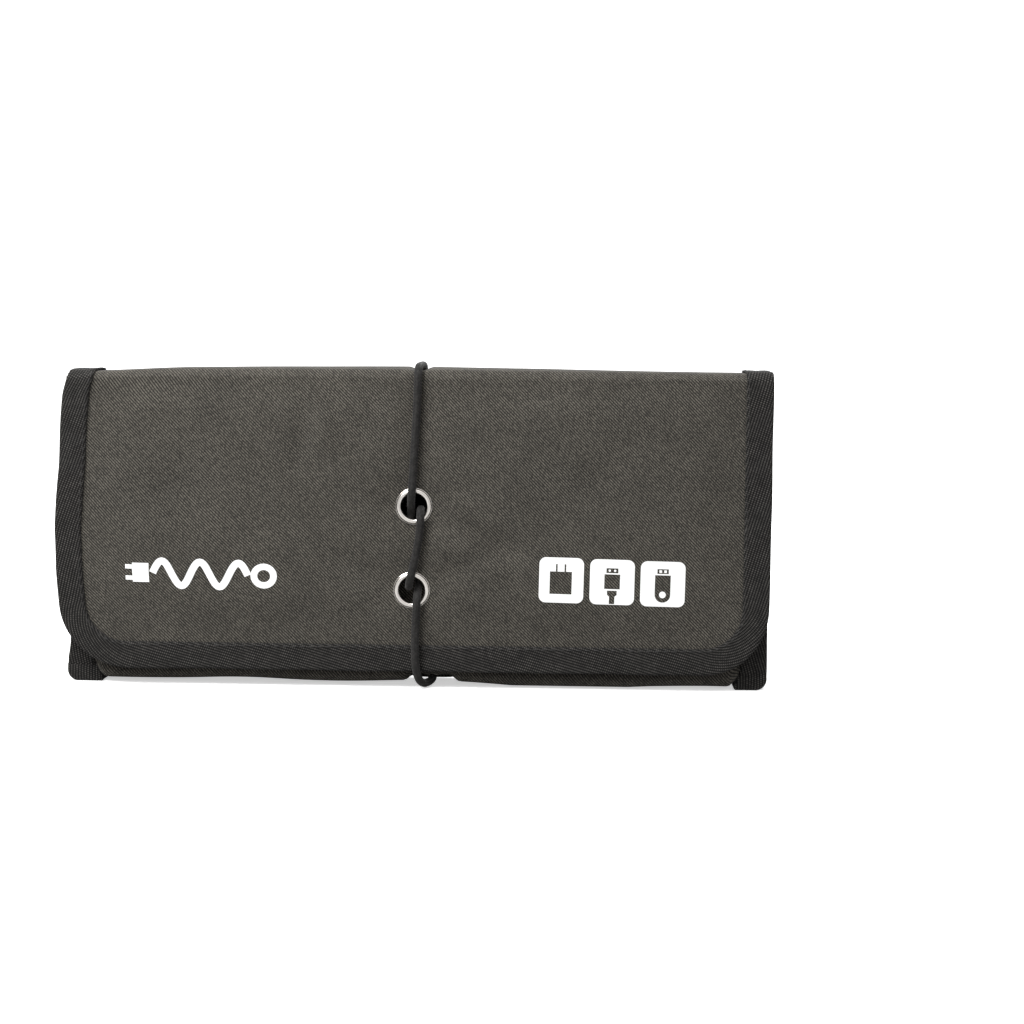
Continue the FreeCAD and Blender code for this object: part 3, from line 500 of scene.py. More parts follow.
def rib_group():
    """Diagonal or lengthwise ribs of woven tape and elastic, from fine parallel lines, with a painted highlight on the
    rib tops and painted shade between the ribs.
    """
    tree, net, given, out = new_group(
        "tape_ribs",
        [("Place", "NodeSocketVector", None), ("Rib", "NodeSocketFloat", 0.0009),
         ("Slant", "NodeSocketFloat", 0.35), ("Colour", "NodeSocketColor", (0.02, 0.02, 0.02)),
         ("Worn", "NodeSocketColor", (0.08, 0.075, 0.07))],
        [("Color", "NodeSocketColor"), ("Height", "NodeSocketFloat")])
    parts = net.add("ShaderNodeSeparateXYZ", Vector=given["Place"]).outputs
    slant = net.math("MULTIPLY", parts[0], given["Slant"])
    lane = net.math("DIVIDE", net.math("ADD", parts[1], slant), given["Rib"])
    rib = net.math("SINE", net.math("MULTIPLY", net.math("FRACT", lane), math.pi))
    row = net.math("FLOOR", lane)
    cross = net.math("ADD", net.math("DIVIDE", parts[0], net.math("MULTIPLY", given["Rib"], 0.72)),
                     net.math("MULTIPLY", row, 0.5))
    pick = net.math("SINE", net.math("MULTIPLY", net.math("FRACT", cross), math.pi))
    height = net.math("MULTIPLY", rib, net.math("ADD", 0.3, net.math("MULTIPLY", pick, 0.7)))
    tone = net.math("ADD", 0.6, net.math("MULTIPLY", net.random(row, net.math("FLOOR", cross)), 0.4))
    fuzz = net.noise(given["Place"], 220.0, 2.0)
    # Painted highlight: the raised tops of the ribs are mixed towards the second, lighter colour, with a random tone
    # and fuzz.
    raised = net.math("MULTIPLY", height, height)
    painted_rib_highlight = net.math("MULTIPLY", net.math("MULTIPLY", raised, tone), net.math("ADD", 0.45, fuzz))
    plain = net.mix(painted_rib_highlight, given["Colour"], given["Worn"])
    # Painted shade: the colour darkens towards near-black between the ribs.
    net.feed(out.inputs["Color"], net.mix(net.math("ADD", 0.3, net.math("MULTIPLY", height, 0.7)),
                                          (0.003, 0.003, 0.003), plain))
    net.feed(out.inputs["Height"], height)
    return tree


def braid_group():
    """Crossing strands of a braided sheath, from the length along it and the turn round it, with painted shade between
    the strands.
    """
    tree, net, given, out = new_group(
        "braid_strands",
        [("Place", "NodeSocketVector", None), ("Strand", "NodeSocketFloat", 0.0009),
         ("Colour", "NodeSocketColor", (0.02, 0.02, 0.02)), ("Worn", "NodeSocketColor", (0.1, 0.1, 0.1))],
        [("Color", "NodeSocketColor"), ("Height", "NodeSocketFloat")])
    parts = net.add("ShaderNodeSeparateXYZ", Vector=given["Place"]).outputs
    along = net.math("DIVIDE", parts[0], given["Strand"])
    turn = net.math("MULTIPLY", parts[1], 8.0)
    rising = net.math("ADD", turn, along)
    falling = net.math("SUBTRACT", turn, along)
    first = net.math("SINE", net.math("MULTIPLY", net.math("FRACT", rising), math.pi))
    second = net.math("SINE", net.math("MULTIPLY", net.math("FRACT", falling), math.pi))
    cells = net.math("ADD", net.math("FLOOR", rising), net.math("FLOOR", falling))
    over = net.math("LESS_THAN", net.math("FRACT", net.math("DIVIDE", cells, 2.0)), 0.5)
    pair = net.add("ShaderNodeMix", {"data_type": "FLOAT"})
    net.feed(pair.inputs[0], over)
    net.feed(pair.inputs[2], second)
    net.feed(pair.inputs[3], first)
    height = pair.outputs[0]
    tone = net.random(net.math("FLOOR", rising), net.math("FLOOR", falling))
    plain = net.mix(net.math("MULTIPLY", tone, 0.5), given["Colour"], given["Worn"])
    # Painted shade: the colour darkens towards near-black between the strands.
    net.feed(out.inputs["Color"], net.mix(net.math("ADD", 0.4, net.math("MULTIPLY", height, 0.6)),
                                          (0.004, 0.004, 0.004), plain))
    net.feed(out.inputs["Height"], height)
    return tree


def group(name, maker):
    """Return a shader group, built the first time it is asked for."""
    return bpy.data.node_groups.get(name) or maker()


def start_material(name):
    """Start a material and return it with its net, shader and surface coordinates."""
    material = bpy.data.materials.new(name)
    material.use_nodes = True
    net = Net(material.node_tree)
    shader = material.node_tree.nodes["Principled BSDF"]
    coordinates = net.add("ShaderNodeTexCoord").outputs
    return material, net, shader, coordinates


def textile(name, maker, group_name, place="UV", roughness=0.9, sheen=0.08, bump=0.00008, **values):
    """Return a woven material whose colour and relief come from one of the shader groups."""
    if name in bpy.data.materials:
        return bpy.data.materials[name]
    material, net, shader, coordinates = start_material(name)
    node = net.add("ShaderNodeGroup", {"node_tree": group(group_name, maker)})
    net.feed(node.inputs["Place"], coordinates[place])
    for key, value in values.items():
        net.feed(node.inputs[key], value)
    net.feed(shader.inputs["Base Color"], node.outputs["Color"])
    relief = net.add("ShaderNodeBump", Distance=bump, Height=node.outputs["Height"], Strength=0.8)
    net.feed(shader.inputs["Normal"], relief.outputs[0])
    shader.inputs["Roughness"].default_value = roughness
    shader.inputs["Sheen Weight"].default_value = sheen
    shader.inputs["Sheen Roughness"].default_value = 0.5
    shader.inputs["Specular IOR Level"].default_value = 0.12
    return material


def outer_cloth():
    """Charcoal melange twill."""
    cloth = bpy.context.scene.pouch_cloth
    return textile("melange_twill", weave_group, "yarn_weave", Yarn=cloth.yarn,
                   Dark=tuple(cloth.dark), Light=tuple(cloth.light))


def lining_cloth():
    """Black plain-weave lining."""
    return textile("lining_weave", weave_group, "yarn_weave", Yarn=0.0003, Floats=2.0,
                   Dark=(0.006, 0.006, 0.0065), Light=(0.03, 0.03, 0.031), sheen=0.05)


def tape_cloth():
    """Near-black twill tape."""
    tape = bpy.context.scene.pouch_tape
    # The second, lighter colour is the painted highlight on the tops of the ribs, with a random tone.
    return textile("binding_twill", rib_group, "tape_ribs", bump=0.00016, sheen=0.05,
                   Rib=tape.rib, Slant=-0.3,
                   Colour=tuple(tape.colour), Worn=(0.095, 0.09, 0.083))


def elastic_cloth():
    """Ribbed woven elastic."""
    # The second, lighter colour is the painted highlight on the tops of the ribs, with a random tone.
    return textile("woven_elastic", rib_group, "tape_ribs", Rib=0.0011, Slant=0.0, bump=0.00015,
                   Colour=(0.012, 0.012, 0.0125), Worn=(0.05, 0.05, 0.05))


def zip_cloth():
    """Plain zip tape."""
    # The second, lighter colour is the painted highlight on the tops of the ribs, with a random tone.
    return textile("zip_weave", rib_group, "tape_ribs", Rib=0.0007, Slant=0.12, bump=0.00008,
                   Colour=(0.012, 0.012, 0.0125), Worn=(0.06, 0.06, 0.06))


def braided_sheath():
    """Braided cover of the elastic cord."""
    cord = bpy.context.scene.pouch_cord
    return textile("braided_sheath", braid_group, "braid_strands", roughness=0.6, bump=0.0001,
                   Colour=tuple(cord.colour), Worn=(0.04, 0.038, 0.036), Strand=0.0011)


def grained(name, colour, roughness, metallic=0.0, scale=900.0, spread=0.08, bump=0.00002):
    """Return a plain material with a fine grain in its colour, gloss and relief."""
    if name in bpy.data.materials:
        return bpy.data.materials[name]
    material, net, shader, coordinates = start_material(name)
    speck = net.noise(coordinates["Object"], scale)
    broad = net.noise(coordinates["Object"], scale / 30)
    lighter = tuple(min(1.0, part * 1.35) for part in colour)
    net.feed(shader.inputs["Base Color"], net.mix(speck, colour, lighter))
    rough = net.math("ADD", roughness - spread / 2, net.math("MULTIPLY", broad, spread))
    net.feed(shader.inputs["Roughness"], rough)
    relief = net.add("ShaderNodeBump", Distance=bump, Height=speck, Strength=0.5)
    net.feed(shader.inputs["Normal"], relief.outputs[0])
    shader.inputs["Metallic"].default_value = metallic
    return material


def nickel(name="bright_nickel", shaded_grooves=()):
    """Bright nickel with a faint brushed variation, and painted shade: near-black bands at given shares of its
    outline, where it dips into a groove.
    """
    if name in bpy.data.materials:
        return bpy.data.materials[name]
    material, net, shader, coordinates = start_material(name)
    share = net.add("ShaderNodeSeparateXYZ", Vector=coordinates["UV"]).outputs[1]
    speck = net.noise(coordinates["Object"], 600.0)
    plain = net.mix(speck, (0.84, 0.8, 0.75), (0.93, 0.89, 0.84))
    # Painted shade: each band of the outline where a groove lies is darkened to near-black.
    for middle, half in shaded_grooves:
        off = net.math("ABSOLUTE", net.math("SUBTRACT", share, middle))
        plain = net.mix(net.math("LESS_THAN", off, half), plain, (0.02, 0.018, 0.016))
    net.feed(shader.inputs["Base Color"], plain)
    net.feed(shader.inputs["Roughness"], net.math("ADD", 0.14, net.math("MULTIPLY", speck, 0.12)))
    shader.inputs["Metallic"].default_value = 1.0
    return material


def zip_metal():
    """Dark nickel of the slider."""
    return grained("dark_nickel", (0.32, 0.31, 0.30), 0.3, metallic=1.0, scale=700.0)


def mesh_cloth():
    """Knitted mesh: round holes that show the lining behind as darker dots."""
    if "pocket_mesh" in bpy.data.materials:
        return bpy.data.materials["pocket_mesh"]
    material, net, shader, coordinates = start_material("pocket_mesh")
    cells = net.add("ShaderNodeTexVoronoi", Vector=coordinates["UV"], Scale=620.0, Randomness=0.12)
    hole = net.math("LESS_THAN", cells.outputs["Distance"], 0.36)
    net.feed(shader.inputs["Base Color"], net.mix(hole, (0.045, 0.045, 0.047), (0.005, 0.005, 0.005)))
    thread = net.math("SUBTRACT", 1.0, hole)
    relief = net.add("ShaderNodeBump", Distance=0.00015, Height=thread, Strength=0.9)
    net.feed(shader.inputs["Normal"], relief.outputs[0])
    shader.inputs["Roughness"].default_value = 0.75
    return material


def print_ink():
    """White screen print that lets the weave's relief through."""
    if "print_ink" in bpy.data.materials:
        return bpy.data.materials["print_ink"]
    settings = bpy.context.scene.pouch_print
    material, net, shader, coordinates = start_material("print_ink")
    node = net.add("ShaderNodeGroup", {"node_tree": group("yarn_weave", weave_group)})
    net.feed(node.inputs["Place"], coordinates["UV"])
    net.feed(node.inputs["Yarn"], bpy.context.scene.pouch_cloth.yarn)
    speck = net.noise(coordinates["UV"], 700.0)
    ink = tuple(settings.ink)
    net.feed(shader.inputs["Base Color"], net.mix(speck, tuple(part * 0.93 for part in ink), ink))
    relief = net.add("ShaderNodeBump", Distance=0.00003, Height=node.outputs["Height"], Strength=0.4)
    net.feed(shader.inputs["Normal"], relief.outputs[0])
    shader.inputs["Roughness"].default_value = 0.6
    return material


# ---------------------------------------------------------------------------
# Mesh helpers
# ---------------------------------------------------------------------------


def make_piece(name, spots, faces, places, material):
    """Return a mesh object with UVs, one place per vertex, and outward normals."""
    mesh = bpy.data.meshes.new(name)
    mesh.from_pydata([tuple(spot) for spot in spots], [], faces)
    layer = mesh.uv_layers.new(name="UVMap")
    for loop in mesh.loops:
        layer.data[loop.index].uv = places[loop.vertex_index]
    shape = bmesh.new()
    shape.from_mesh(mesh)
    bmesh.ops.recalc_face_normals(shape, faces=shape.faces)
    shape.to_mesh(mesh)
    shape.free()
    mesh.polygons.foreach_set("use_smooth", [True] * len(mesh.polygons))
    mesh.materials.append(material)
    piece = bpy.data.objects.new(name, mesh)
    bpy.context.scene.collection.objects.link(piece)
    return piece


def soften(piece, angle=40):
    """Shade a piece smooth except over edges sharper than an angle."""
    for polygon in piece.data.polygons:
        polygon.use_smooth = True
    shape = bmesh.new()
    shape.from_mesh(piece.data)
    for edge in shape.edges:
        edge.smooth = not (len(edge.link_faces) == 2 and edge.calc_face_angle() > math.radians(angle))
    shape.to_mesh(piece.data)
    shape.free()


def sheet_solid(name, rows, columns, outer, inner, place, material, missing=None):
    """Return a closed thin sheet from a grid: outer and inner give a grid point's two surfaces."""
    spots = []
    places = []
    for surface in (outer, inner):
        for row in range(rows + 1):
            for column in range(columns + 1):
                spots.append(surface(row, column))
                places.append(place(row, column))
    layer = (rows + 1) * (columns + 1)
    kept = {(row, column) for row in range(rows) for column in range(columns)
            if not (missing and missing(row, column))}
    faces = []
    for row, column in kept:
        corner = row * (columns + 1) + column
        quad = [corner, corner + 1, corner + columns + 2, corner + columns + 1]
        faces.append(quad)
        faces.append([layer + index for index in reversed(quad)])
        beside = [(row - 1, column), (row, column + 1), (row + 1, column), (row, column - 1)]
        for side, neighbour in enumerate(beside):
            if neighbour not in kept:
                first, second = quad[side], quad[(side + 1) % 4]
                faces.append([second, first, layer + first, layer + second])
    used = sorted({index for face in faces for index in face})
    fresh = {index: number for number, index in enumerate(used)}
    return make_piece(name, [spots[index] for index in used],
                      [[fresh[index] for index in face] for face in faces],
                      [places[index] for index in used], material)


def smooth_step(value):
    """Return a value eased between 0 and 1."""
    value = min(1.0, max(0.0, value))
    return value * value * (3 - 2 * value)


def straight(start, end, turn, pitch):
    """Return stations (y, z, face angle) from one point towards another, without the last."""
    way = (end[0] - start[0], end[1] - start[1])
    steps = max(1, round(math.hypot(*way) / pitch))
    return [(start[0] + way[0] * step / steps, start[1] + way[1] * step / steps, turn)
            for step in range(steps)]


def corner(axis, first, last, steps=8):
    """Return stations that turn about a fold's axis."""
    return [(axis[0], axis[1], first + (last - first) * step / steps) for step in range(steps + 1)]


def strip_stations(name, pitch=1.3 * MM):
    """Return the stations of one of the four cloth strips, from its middle seam to its end."""
    quarter = math.pi / 2
    if name == "upper_back":
        return (straight((BACK_IN, BACK_MIDDLE), (BACK_IN, TOP_IN), 0, pitch)
                + corner((BACK_IN, TOP_IN), 0, quarter)
                + straight((BACK_IN, TOP_IN), (0, TOP_IN), quarter, pitch)[1:] + [(0, TOP_IN, quarter)])
    if name == "flap":
        return (straight((0, TOP_IN), (FLAP_IN, TOP_IN), quarter, pitch)
                + corner((FLAP_IN, TOP_IN), quarter, 2 * quarter)
                + straight((FLAP_IN, TOP_IN), (FLAP_IN, FLAP_END), 2 * quarter, pitch)[1:]
                + [(FLAP_IN, FLAP_END, 2 * quarter)])
    if name == "lower_back":
        return (straight((BACK_IN, BACK_MIDDLE), (BACK_IN, BASE_IN), 0, pitch)
                + corner((BACK_IN, BASE_IN), 0, -quarter)
                + straight((BACK_IN, BASE_IN), (BASE_MIDDLE, BASE_IN), -quarter, pitch)[1:]
                + [(BASE_MIDDLE, BASE_IN, -quarter)])
    return (straight((BASE_MIDDLE, BASE_IN), (POCKET_IN, BASE_IN), -quarter, pitch)
            + corner((POCKET_IN, BASE_IN), -quarter, -2 * quarter)
            + straight((POCKET_IN, BASE_IN), (POCKET_IN, POCKET_END), -2 * quarter, pitch)[1:]
            + [(POCKET_IN, POCKET_END, -2 * quarter)])


# Radii of an eyelet: its bore, the hole in the cloth and its flange.
EYELET_BORE = 4.9 * MM
EYELET_HOLE = 5.9 * MM
EYELET_RIM = 6.85 * MM
# Spacing of the rings of points along the cloth and the tape.
CLOTH_PITCH = 1.3 * MM
TAPE_PITCH = 2.0 * MM
# Each strip's two bodies, its fold's axis with the way out at its middle, and the rounding of its
# end corners.
STRIPS = {
    "upper_back": {
        "bodies": ("back_panel", "top_spine"), "fold": (BACK_IN, TOP_IN, math.pi / 4), "round": 0},
    "flap": {
        "bodies": ("top_spine", "front_flap"), "fold": (FLAP_IN, TOP_IN, 3 * math.pi / 4),
        "round": FLAP_ROUND},
    "lower_back": {
        "bodies": ("back_panel", "bottom_spine"), "fold": (BACK_IN, BASE_IN, -math.pi / 4), "round": 0},
    "pocket": {
        "bodies": ("bottom_spine", "pocket_panel"), "fold": (POCKET_IN, BASE_IN, -3 * math.pi / 4),
        "round": POCKET_ROUND},
}
FOLD_DEPTH = 2.1 * MM
FOLD_REACH = 4.2 * MM


def bend(piece, strip):
    """Blend a piece over its strip's fold, evenly before and after it."""
    axis_y, axis_z, turn = STRIPS[strip]["fold"]
    along = 1 if strip in ("upper_back", "flap") else -1
    middle = Vector((0, axis_y + FOLD_DEPTH * math.cos(turn), axis_z + FOLD_DEPTH * math.sin(turn)))
    way = Vector((0, -math.sin(turn), math.cos(turn))) * along * FOLD_REACH
    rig.blend(piece, *STRIPS[strip]["bodies"], start=tuple(middle - way), end=tuple(middle + way))


def lengths(stations, radius):
    """Return how far each station lies along the cloth, at one distance from the folds' axes."""
    total = [0.0]
    for before, after in zip(stations, stations[1:]):
        moved = math.hypot(after[0] - before[0], after[1] - before[1])
        total.append(total[-1] + moved + abs(after[2] - before[2]) * radius)
    return total


def half_width(strip, remaining):
    """Return the strip's half width at a distance from its end, where its corners are round."""
    radius = STRIPS[strip]["round"]
    if remaining >= radius:
        return EDGE
    return EDGE - (radius - math.sqrt(max(0.0, radius ** 2 - (radius - remaining) ** 2)))


# How far the flap's left edge bows out, as height and amount in millimetres.
FLAP_BOW = [
    (6, 1.6), (17, 2.1), (31, 2.5), (43, 3.5), (59, 4.0), (70, 3.2), (83, 2.1), (97, 1.5),
    (111, 0.5), (119, -1.5)]
# How far the left foot bows out.
FOOT_BOW = 1.3 * MM
# How much of the sag the bottom has, as place along the pouch in millimetres and share.
SAG_ALONG = [(-120, 0.8), (-83, 0.95), (-45, 1.0), (30, 0.92), (67, 0.95), (104, 1.0)]
# How far the cloth may hang before it touches the floor.
DEEPEST_SAG = 3.8 * MM
# Soft creases of the flap: from x, z to x, z, half width and height, in millimetres.
CREASES = [
    (4, 70, 30, 78, 3.5, -0.5),
    (6, 66, 38, 52, 4.5, -0.9),
    (5, 58, 30, 44, 4.0, 0.6),
    (4, 40, 34, 54, 4.5, -0.8),
    (5, 33, 30, 24, 4.0, -0.5),
    (-8, 66, -30, 74, 4.5, -0.5),
    (-8, 40, -34, 50, 5.0, -0.6),
    (-8, 34, -28, 22, 4.5, -0.4),
    (-44, 84, -40, 108, 4.0, -0.7),
    (-36, 90, -33, 104, 4.0, 0.5),
    (62, 74, 84, 96, 6.0, -0.4),
    (-96, 66, -78, 100, 6.0, -0.4),
    (-20, 96, -12, 112, 4.0, -0.4),
    (14, 98, 24, 112, 5.0, -0.4),
]


def crease_height(x, z):
    """Return the height of the flap's soft creases at a point, in shares of the crease setting."""
    total = 0.0
    for x0, z0, x1, z1, width, lift in CREASES:
        start = Vector((x0, z0)) * MM
        way = Vector((x1, z1)) * MM - start
        spot = Vector((x, z)) - start
        share = spot.dot(way) / way.length_squared
        inside = smooth_step((share + 0.25) / 0.4) * smooth_step((1.25 - share) / 0.5)
        off = abs(spot.x * way.y - spot.y * way.x) / way.length
        total += lift * inside * math.exp(-(off / (width * MM)) ** 2)
    return total


def cord_clear(x, z):
    """Return 0 under the taut cord and near the eyelets and 1 away from them."""
    clear = 1.0
    for eye in (UPPER, LOWER):
        away = math.hypot(x - eye.x, z - eye.z)
        clear *= 1 - math.exp(-(away / (13 * MM)) ** 4)
    line = 0.8 * MM if z > UPPER.z else 0.0
    return clear * (1 - math.exp(-((x - line) / (7 * MM)) ** 2))


def side_bow(strip, x, y, z):
    """Return how far the cloth's left end is pushed along X, as the flap and the foot below it bow out."""
    if strip == "flap":
        bow = np.interp(z / MM, [step[0] for step in FLAP_BOW], [step[1] for step in FLAP_BOW]) * MM
        return -bow * smooth_step((-30 * MM - x) / (80 * MM)) * smooth_step(-y / (11 * MM))
    if strip == "pocket":
        near_foot = math.exp(-((z - 7 * MM) / (6 * MM)) ** 2)
        return -FOOT_BOW * near_foot * smooth_step((-100 * MM - x) / (25 * MM))
    return 0.0


def corner_slump(x, z):
    """Return how far the left end of the top hangs down at a point."""
    slump = bpy.context.scene.pouch_cloth.slump
    return slump * smooth_step((-85 * MM - x) / (45 * MM)) * smooth_step((z - 70 * MM) / (46 * MM))


def edge_give(strip, x, turn):
    """Return how far the cloth is pressed in at the top's two long edges, but not under the cord."""
    if strip not in ("upper_back", "flap"):
        return 0.0
    clear = 1 - math.exp(-((x - 0.65 * MM) / (6 * MM)) ** 4)
    return bpy.context.scene.pouch_cloth.give * clear * math.sin(2 * turn) ** 2


def crown_rise(x, y, turn):
    """Return how far the top arches up at a point, less beside the cord."""
    cloth = bpy.context.scene.pouch_cloth
    side = smooth_step((EDGE - TAPE_REACH + 1 * MM - abs(x)) / (105 * MM))
    clear = 1 - math.exp(-((x - 0.65 * MM) / (3.2 * MM)) ** 4)
    wave = 1 + 0.25 * noise.noise(Vector((x * 24, 1.7, 8.8)))
    return cloth.crown * side * clear * wave * math.sin(turn) ** 2 * (1 - (y / (16 * MM)) ** 2)


def cloth_relief(strip, x, y, z, turn):
    """Return how far the outer cloth stands off its panel at a point."""
    cloth = bpy.context.scene.pouch_cloth
    if strip in ("upper_back", "flap") and 0.001 < turn < math.pi - 0.001:
        return crown_rise(x, y, turn)
    side = smooth_step((EDGE - TAPE_REACH - abs(x)) / (22 * MM))
    ripple = noise.noise(Vector((x * 26, z * 30, 3.1))) * 0.5
    ripple += noise.noise(Vector((x * 70, z * 60, 7.7))) * 0.18
    if strip == "flap":
        end = smooth_step((z - FLAP_END - TAPE_REACH) / (20 * MM)) * smooth_step((TOP_IN - z) / (14 * MM))
        clear = cord_clear(x, z)
        folds = crease_height(x, z) * (0.25 + 0.75 * clear) + ripple * clear
        shape = cloth.puff * clear + cloth.creases * folds
        return max(-0.35 * MM, side * end * shape)
    if strip in ("upper_back", "lower_back") and abs(turn) < 0.01:
        end = smooth_step((TOP_IN - z) / (16 * MM)) * smooth_step((z - BASE_IN) / (16 * MM))
        clear = 1 - math.exp(-((x - 0.8 * MM) / (12 * MM)) ** 4)
        return max(-0.3 * MM, side * end * clear * (cloth.puff + cloth.creases * ripple))
    if strip == "pocket" and z > BASE_IN + 1 * MM:
        end = smooth_step((POCKET_END - TAPE_REACH - z) / (12 * MM))
        end *= smooth_step((z - BASE_IN) / (10 * MM))
        return side * end * 0.3 * MM * (1 + ripple)
    return 0.0


def bottom_sag(x, y, z, turn):
    """Return how far the cloth under the bottom hangs down, less at the eyelet and none at the feet."""
    cloth = bpy.context.scene.pouch_cloth
    if turn > -0.2:
        return 0.0
    feet = smooth_step((EDGE - 9 * MM - abs(x)) / (5 * MM))
    eye = 1.0
    if y < FLANGE_BACK:
        eye = 1 - math.exp(-((x - BOTTOM.x) / (8.8 * MM)) ** 8)
    if y < FLANGE_FRONT:
        eye = max(eye, 0.1)
    level = smooth_step((-turn - 0.2) / 1.2) * smooth_step((BASE_IN + 14 * MM - z) / (14 * MM))
    wave = 0.85 + 0.35 * noise.noise(Vector((x * 22, 5.2, 1.4)))
    wave *= np.interp(x / MM, [step[0] for step in SAG_ALONG], [step[1] for step in SAG_ALONG])
    sag = min(cloth.sag * wave, DEEPEST_SAG)
    if y > FLANGE_BACK:
        sag = max(sag, DEEPEST_SAG * math.exp(-((x - BOTTOM.x) / (14 * MM)) ** 4))
    return feet * eye * level * sag


def front_bulge(x, y, z, turn):
    """Return how far the sagging cloth is pushed forward under the flap's lower edge."""
    forward = smooth_step((-turn - math.pi / 2) / (math.pi / 4))
    forward *= smooth_step((BASE_IN + 6 * MM - z) / (6 * MM))
    return bottom_sag(x, y, z, turn) * forward


def strip_sheet(name, strip, near, far, material, pitch, relief=None, drop=None, holes=()):
    """Make one layer of cloth along a strip, between two distances from its inner face."""
    stations = strip_stations(strip, pitch)
    along = lengths(stations, PANEL)
    columns = round(2 * EDGE / pitch)
    sign = 1 if strip in ("upper_back", "flap") else -1
    start = lengths(strip_stations("upper_back", pitch), PANEL)[-1] if strip == "flap" else 0.0
    if strip == "pocket":
        start = lengths(strip_stations("lower_back", pitch), PANEL)[-1]
    widths = []
    for index, station in enumerate(stations):
        flat = abs(station[2]) > math.pi - 0.01
        widths.append(half_width(strip, along[-1] - along[index]) if flat else EDGE)

    def surface(reach, moving):
        def spot(row, column):
            y, z, turn = stations[row]
            x = widths[row] * (2 * column / columns - 1)
            out = reach - (edge_give(strip, x, turn) if reach > LINING else 0.0)
            if moving and relief:
                out += relief(strip, x, y, z, turn)
            down = (drop(x, y, z, turn) if drop else 0.0) + corner_slump(x, z)
            place_y = y + math.cos(turn) * out - (front_bulge(x, y, z, turn) if strip == "pocket" else 0.0)
            place_z = z + math.sin(turn) * out
            return (x + side_bow(strip, x, place_y, place_z), place_y, place_z - down)
        return spot

    def place(row, column):
        return (widths[row] * (2 * column / columns - 1) + 0.5, sign * (start + along[row]) + 0.5)

    def missing(row, column):
        y, z, turn = stations[row]
        x = widths[row] * (2 * (column + 0.5) / columns - 1)
        for eye, flat in holes:
            there = (y, z)[flat] if flat else y
            centre = eye.z if flat else eye.y
            if math.hypot(x - eye.x, there - centre) < EYELET_HOLE and (flat or abs(turn) < math.pi * 0.51):
                return True
        return False

    piece = sheet_solid(name, len(stations) - 1, columns, surface(far, True), surface(near, False), place,
                        material, missing if holes else None)
    soften(piece, 55)
    return piece


# ---------------------------------------------------------------------------
# Pieces
# ---------------------------------------------------------------------------


def route_curve(name, points):
    """Return a smooth curve whose control points are the cord's route."""
    curve = bpy.data.curves.new(name, "CURVE")
    curve.dimensions = "3D"
    curve.resolution_u = 12
    spline = curve.splines.new("NURBS")
    spline.points.add(len(points) - 1)
    for point, spot in zip(spline.points, points):
        point.co = (*spot, 1.0)
    spline.order_u = 3
    spline.use_endpoint_u = True
    return bpy.data.objects.new(name, curve)


def route_line(name, points):
    """Return the points along the cord's smooth line."""
    holder = route_curve(f"{name}_route", points)
    bpy.context.scene.collection.objects.link(holder)
    bpy.context.view_layer.update()
    mesh = bpy.data.meshes.new_from_object(holder)
    line = [vertex.co.copy() for vertex in mesh.vertices]
    bpy.data.objects.remove(holder)
    return line


def tube(name, line, radius, material, sides=20):
    """Return a closed round tube along a line, with its length and turn as UVs."""
    ways = [(after - before).normalized() for before, after in zip(line, line[1:])]
    ways.append(ways[-1])
    across = ways[0].orthogonal().normalized()
    spots = []
    places = []
    travelled = 0.0
    for index, spot in enumerate(line):
        if index:
            travelled += (spot - line[index - 1]).length
        way = (ways[index] + ways[max(0, index - 1)]).normalized()
        across = (across - way * across.dot(way)).normalized()
        beside = way.cross(across)
        for side in range(sides + 1):
            angle = 2 * math.pi * side / sides
            spots.append(spot + (across * math.cos(angle) + beside * math.sin(angle)) * radius)
            places.append((travelled, side / sides))
    faces = []
    ring = sides + 1
    for index in range(len(line) - 1):
        for side in range(sides):
            first = index * ring + side
            faces.append([first, first + 1, first + ring + 1, first + ring])
    for index, spot in ((0, line[0]), (len(line) - 1, line[-1])):
        spots.append(spot)
        places.append((travelled if index else 0.0, 0.5))
        for side in range(sides):
            pair = [index * ring + side, index * ring + side + 1]
            faces.append(pair + [len(spots) - 1] if index else pair[::-1] + [len(spots) - 1])
    piece = make_piece(name, spots, faces, places, material)
    shape = bmesh.new()
    shape.from_mesh(piece.data)
    bmesh.ops.remove_doubles(shape, verts=shape.verts, dist=1e-7)
    bmesh.ops.recalc_face_normals(shape, faces=shape.faces)
    shape.to_mesh(piece.data)
    shape.free()
    return piece


def line_length(line):
    """Return a line's length."""
    return sum((after - before).length for before, after in zip(line, line[1:]))


def build_cords():
    """The elastic cord in two lengths that meet on the top, each bent over one of the top's two folds."""
    settings = bpy.context.scene.pouch_cord
    bar = bpy.data.objects["cord_end_tee"]
    patch = bpy.data.objects["anchor_patch"]
    depth = 4.6 * MM
    reach = 5.5 * MM
    runs = [
        ("elastic_cord_back", BACK_CORD, "upper_back", ["cord_back_run", "cord_top_run"],
         "object", [patch]),
        ("elastic_cord_front", FRONT_CORD, "flap", ["cord_front_run", "cord_lacing", "cord_tail_run"],
         "fitting", [bar]),
    ]
    for name, points, strip, nodes, far_end, others in runs:
        line = route_line(name, points)
        piece = tube(name, line, settings.diameter / 2, braided_sheath())
        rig.replaces(piece, *nodes)
        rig.slot(piece, "elastic_cord")
        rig.cord(piece, exit=points[0], length=line_length(line), diameter=settings.diameter,
                far_end=far_end, stiffness="limp", lay="taut", path=[tuple(spot) for spot in line],
                with_pieces=others)
        axis_y, axis_z, turn = STRIPS[strip]["fold"]
        way = Vector((0, -math.sin(turn), math.cos(turn)))
        middle = Vector((0, axis_y + depth * math.cos(turn), axis_z + depth * math.sin(turn)))
        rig.blend(piece, *STRIPS[strip]["bodies"], start=tuple(middle - way * reach),
                 end=tuple(middle + way * reach))


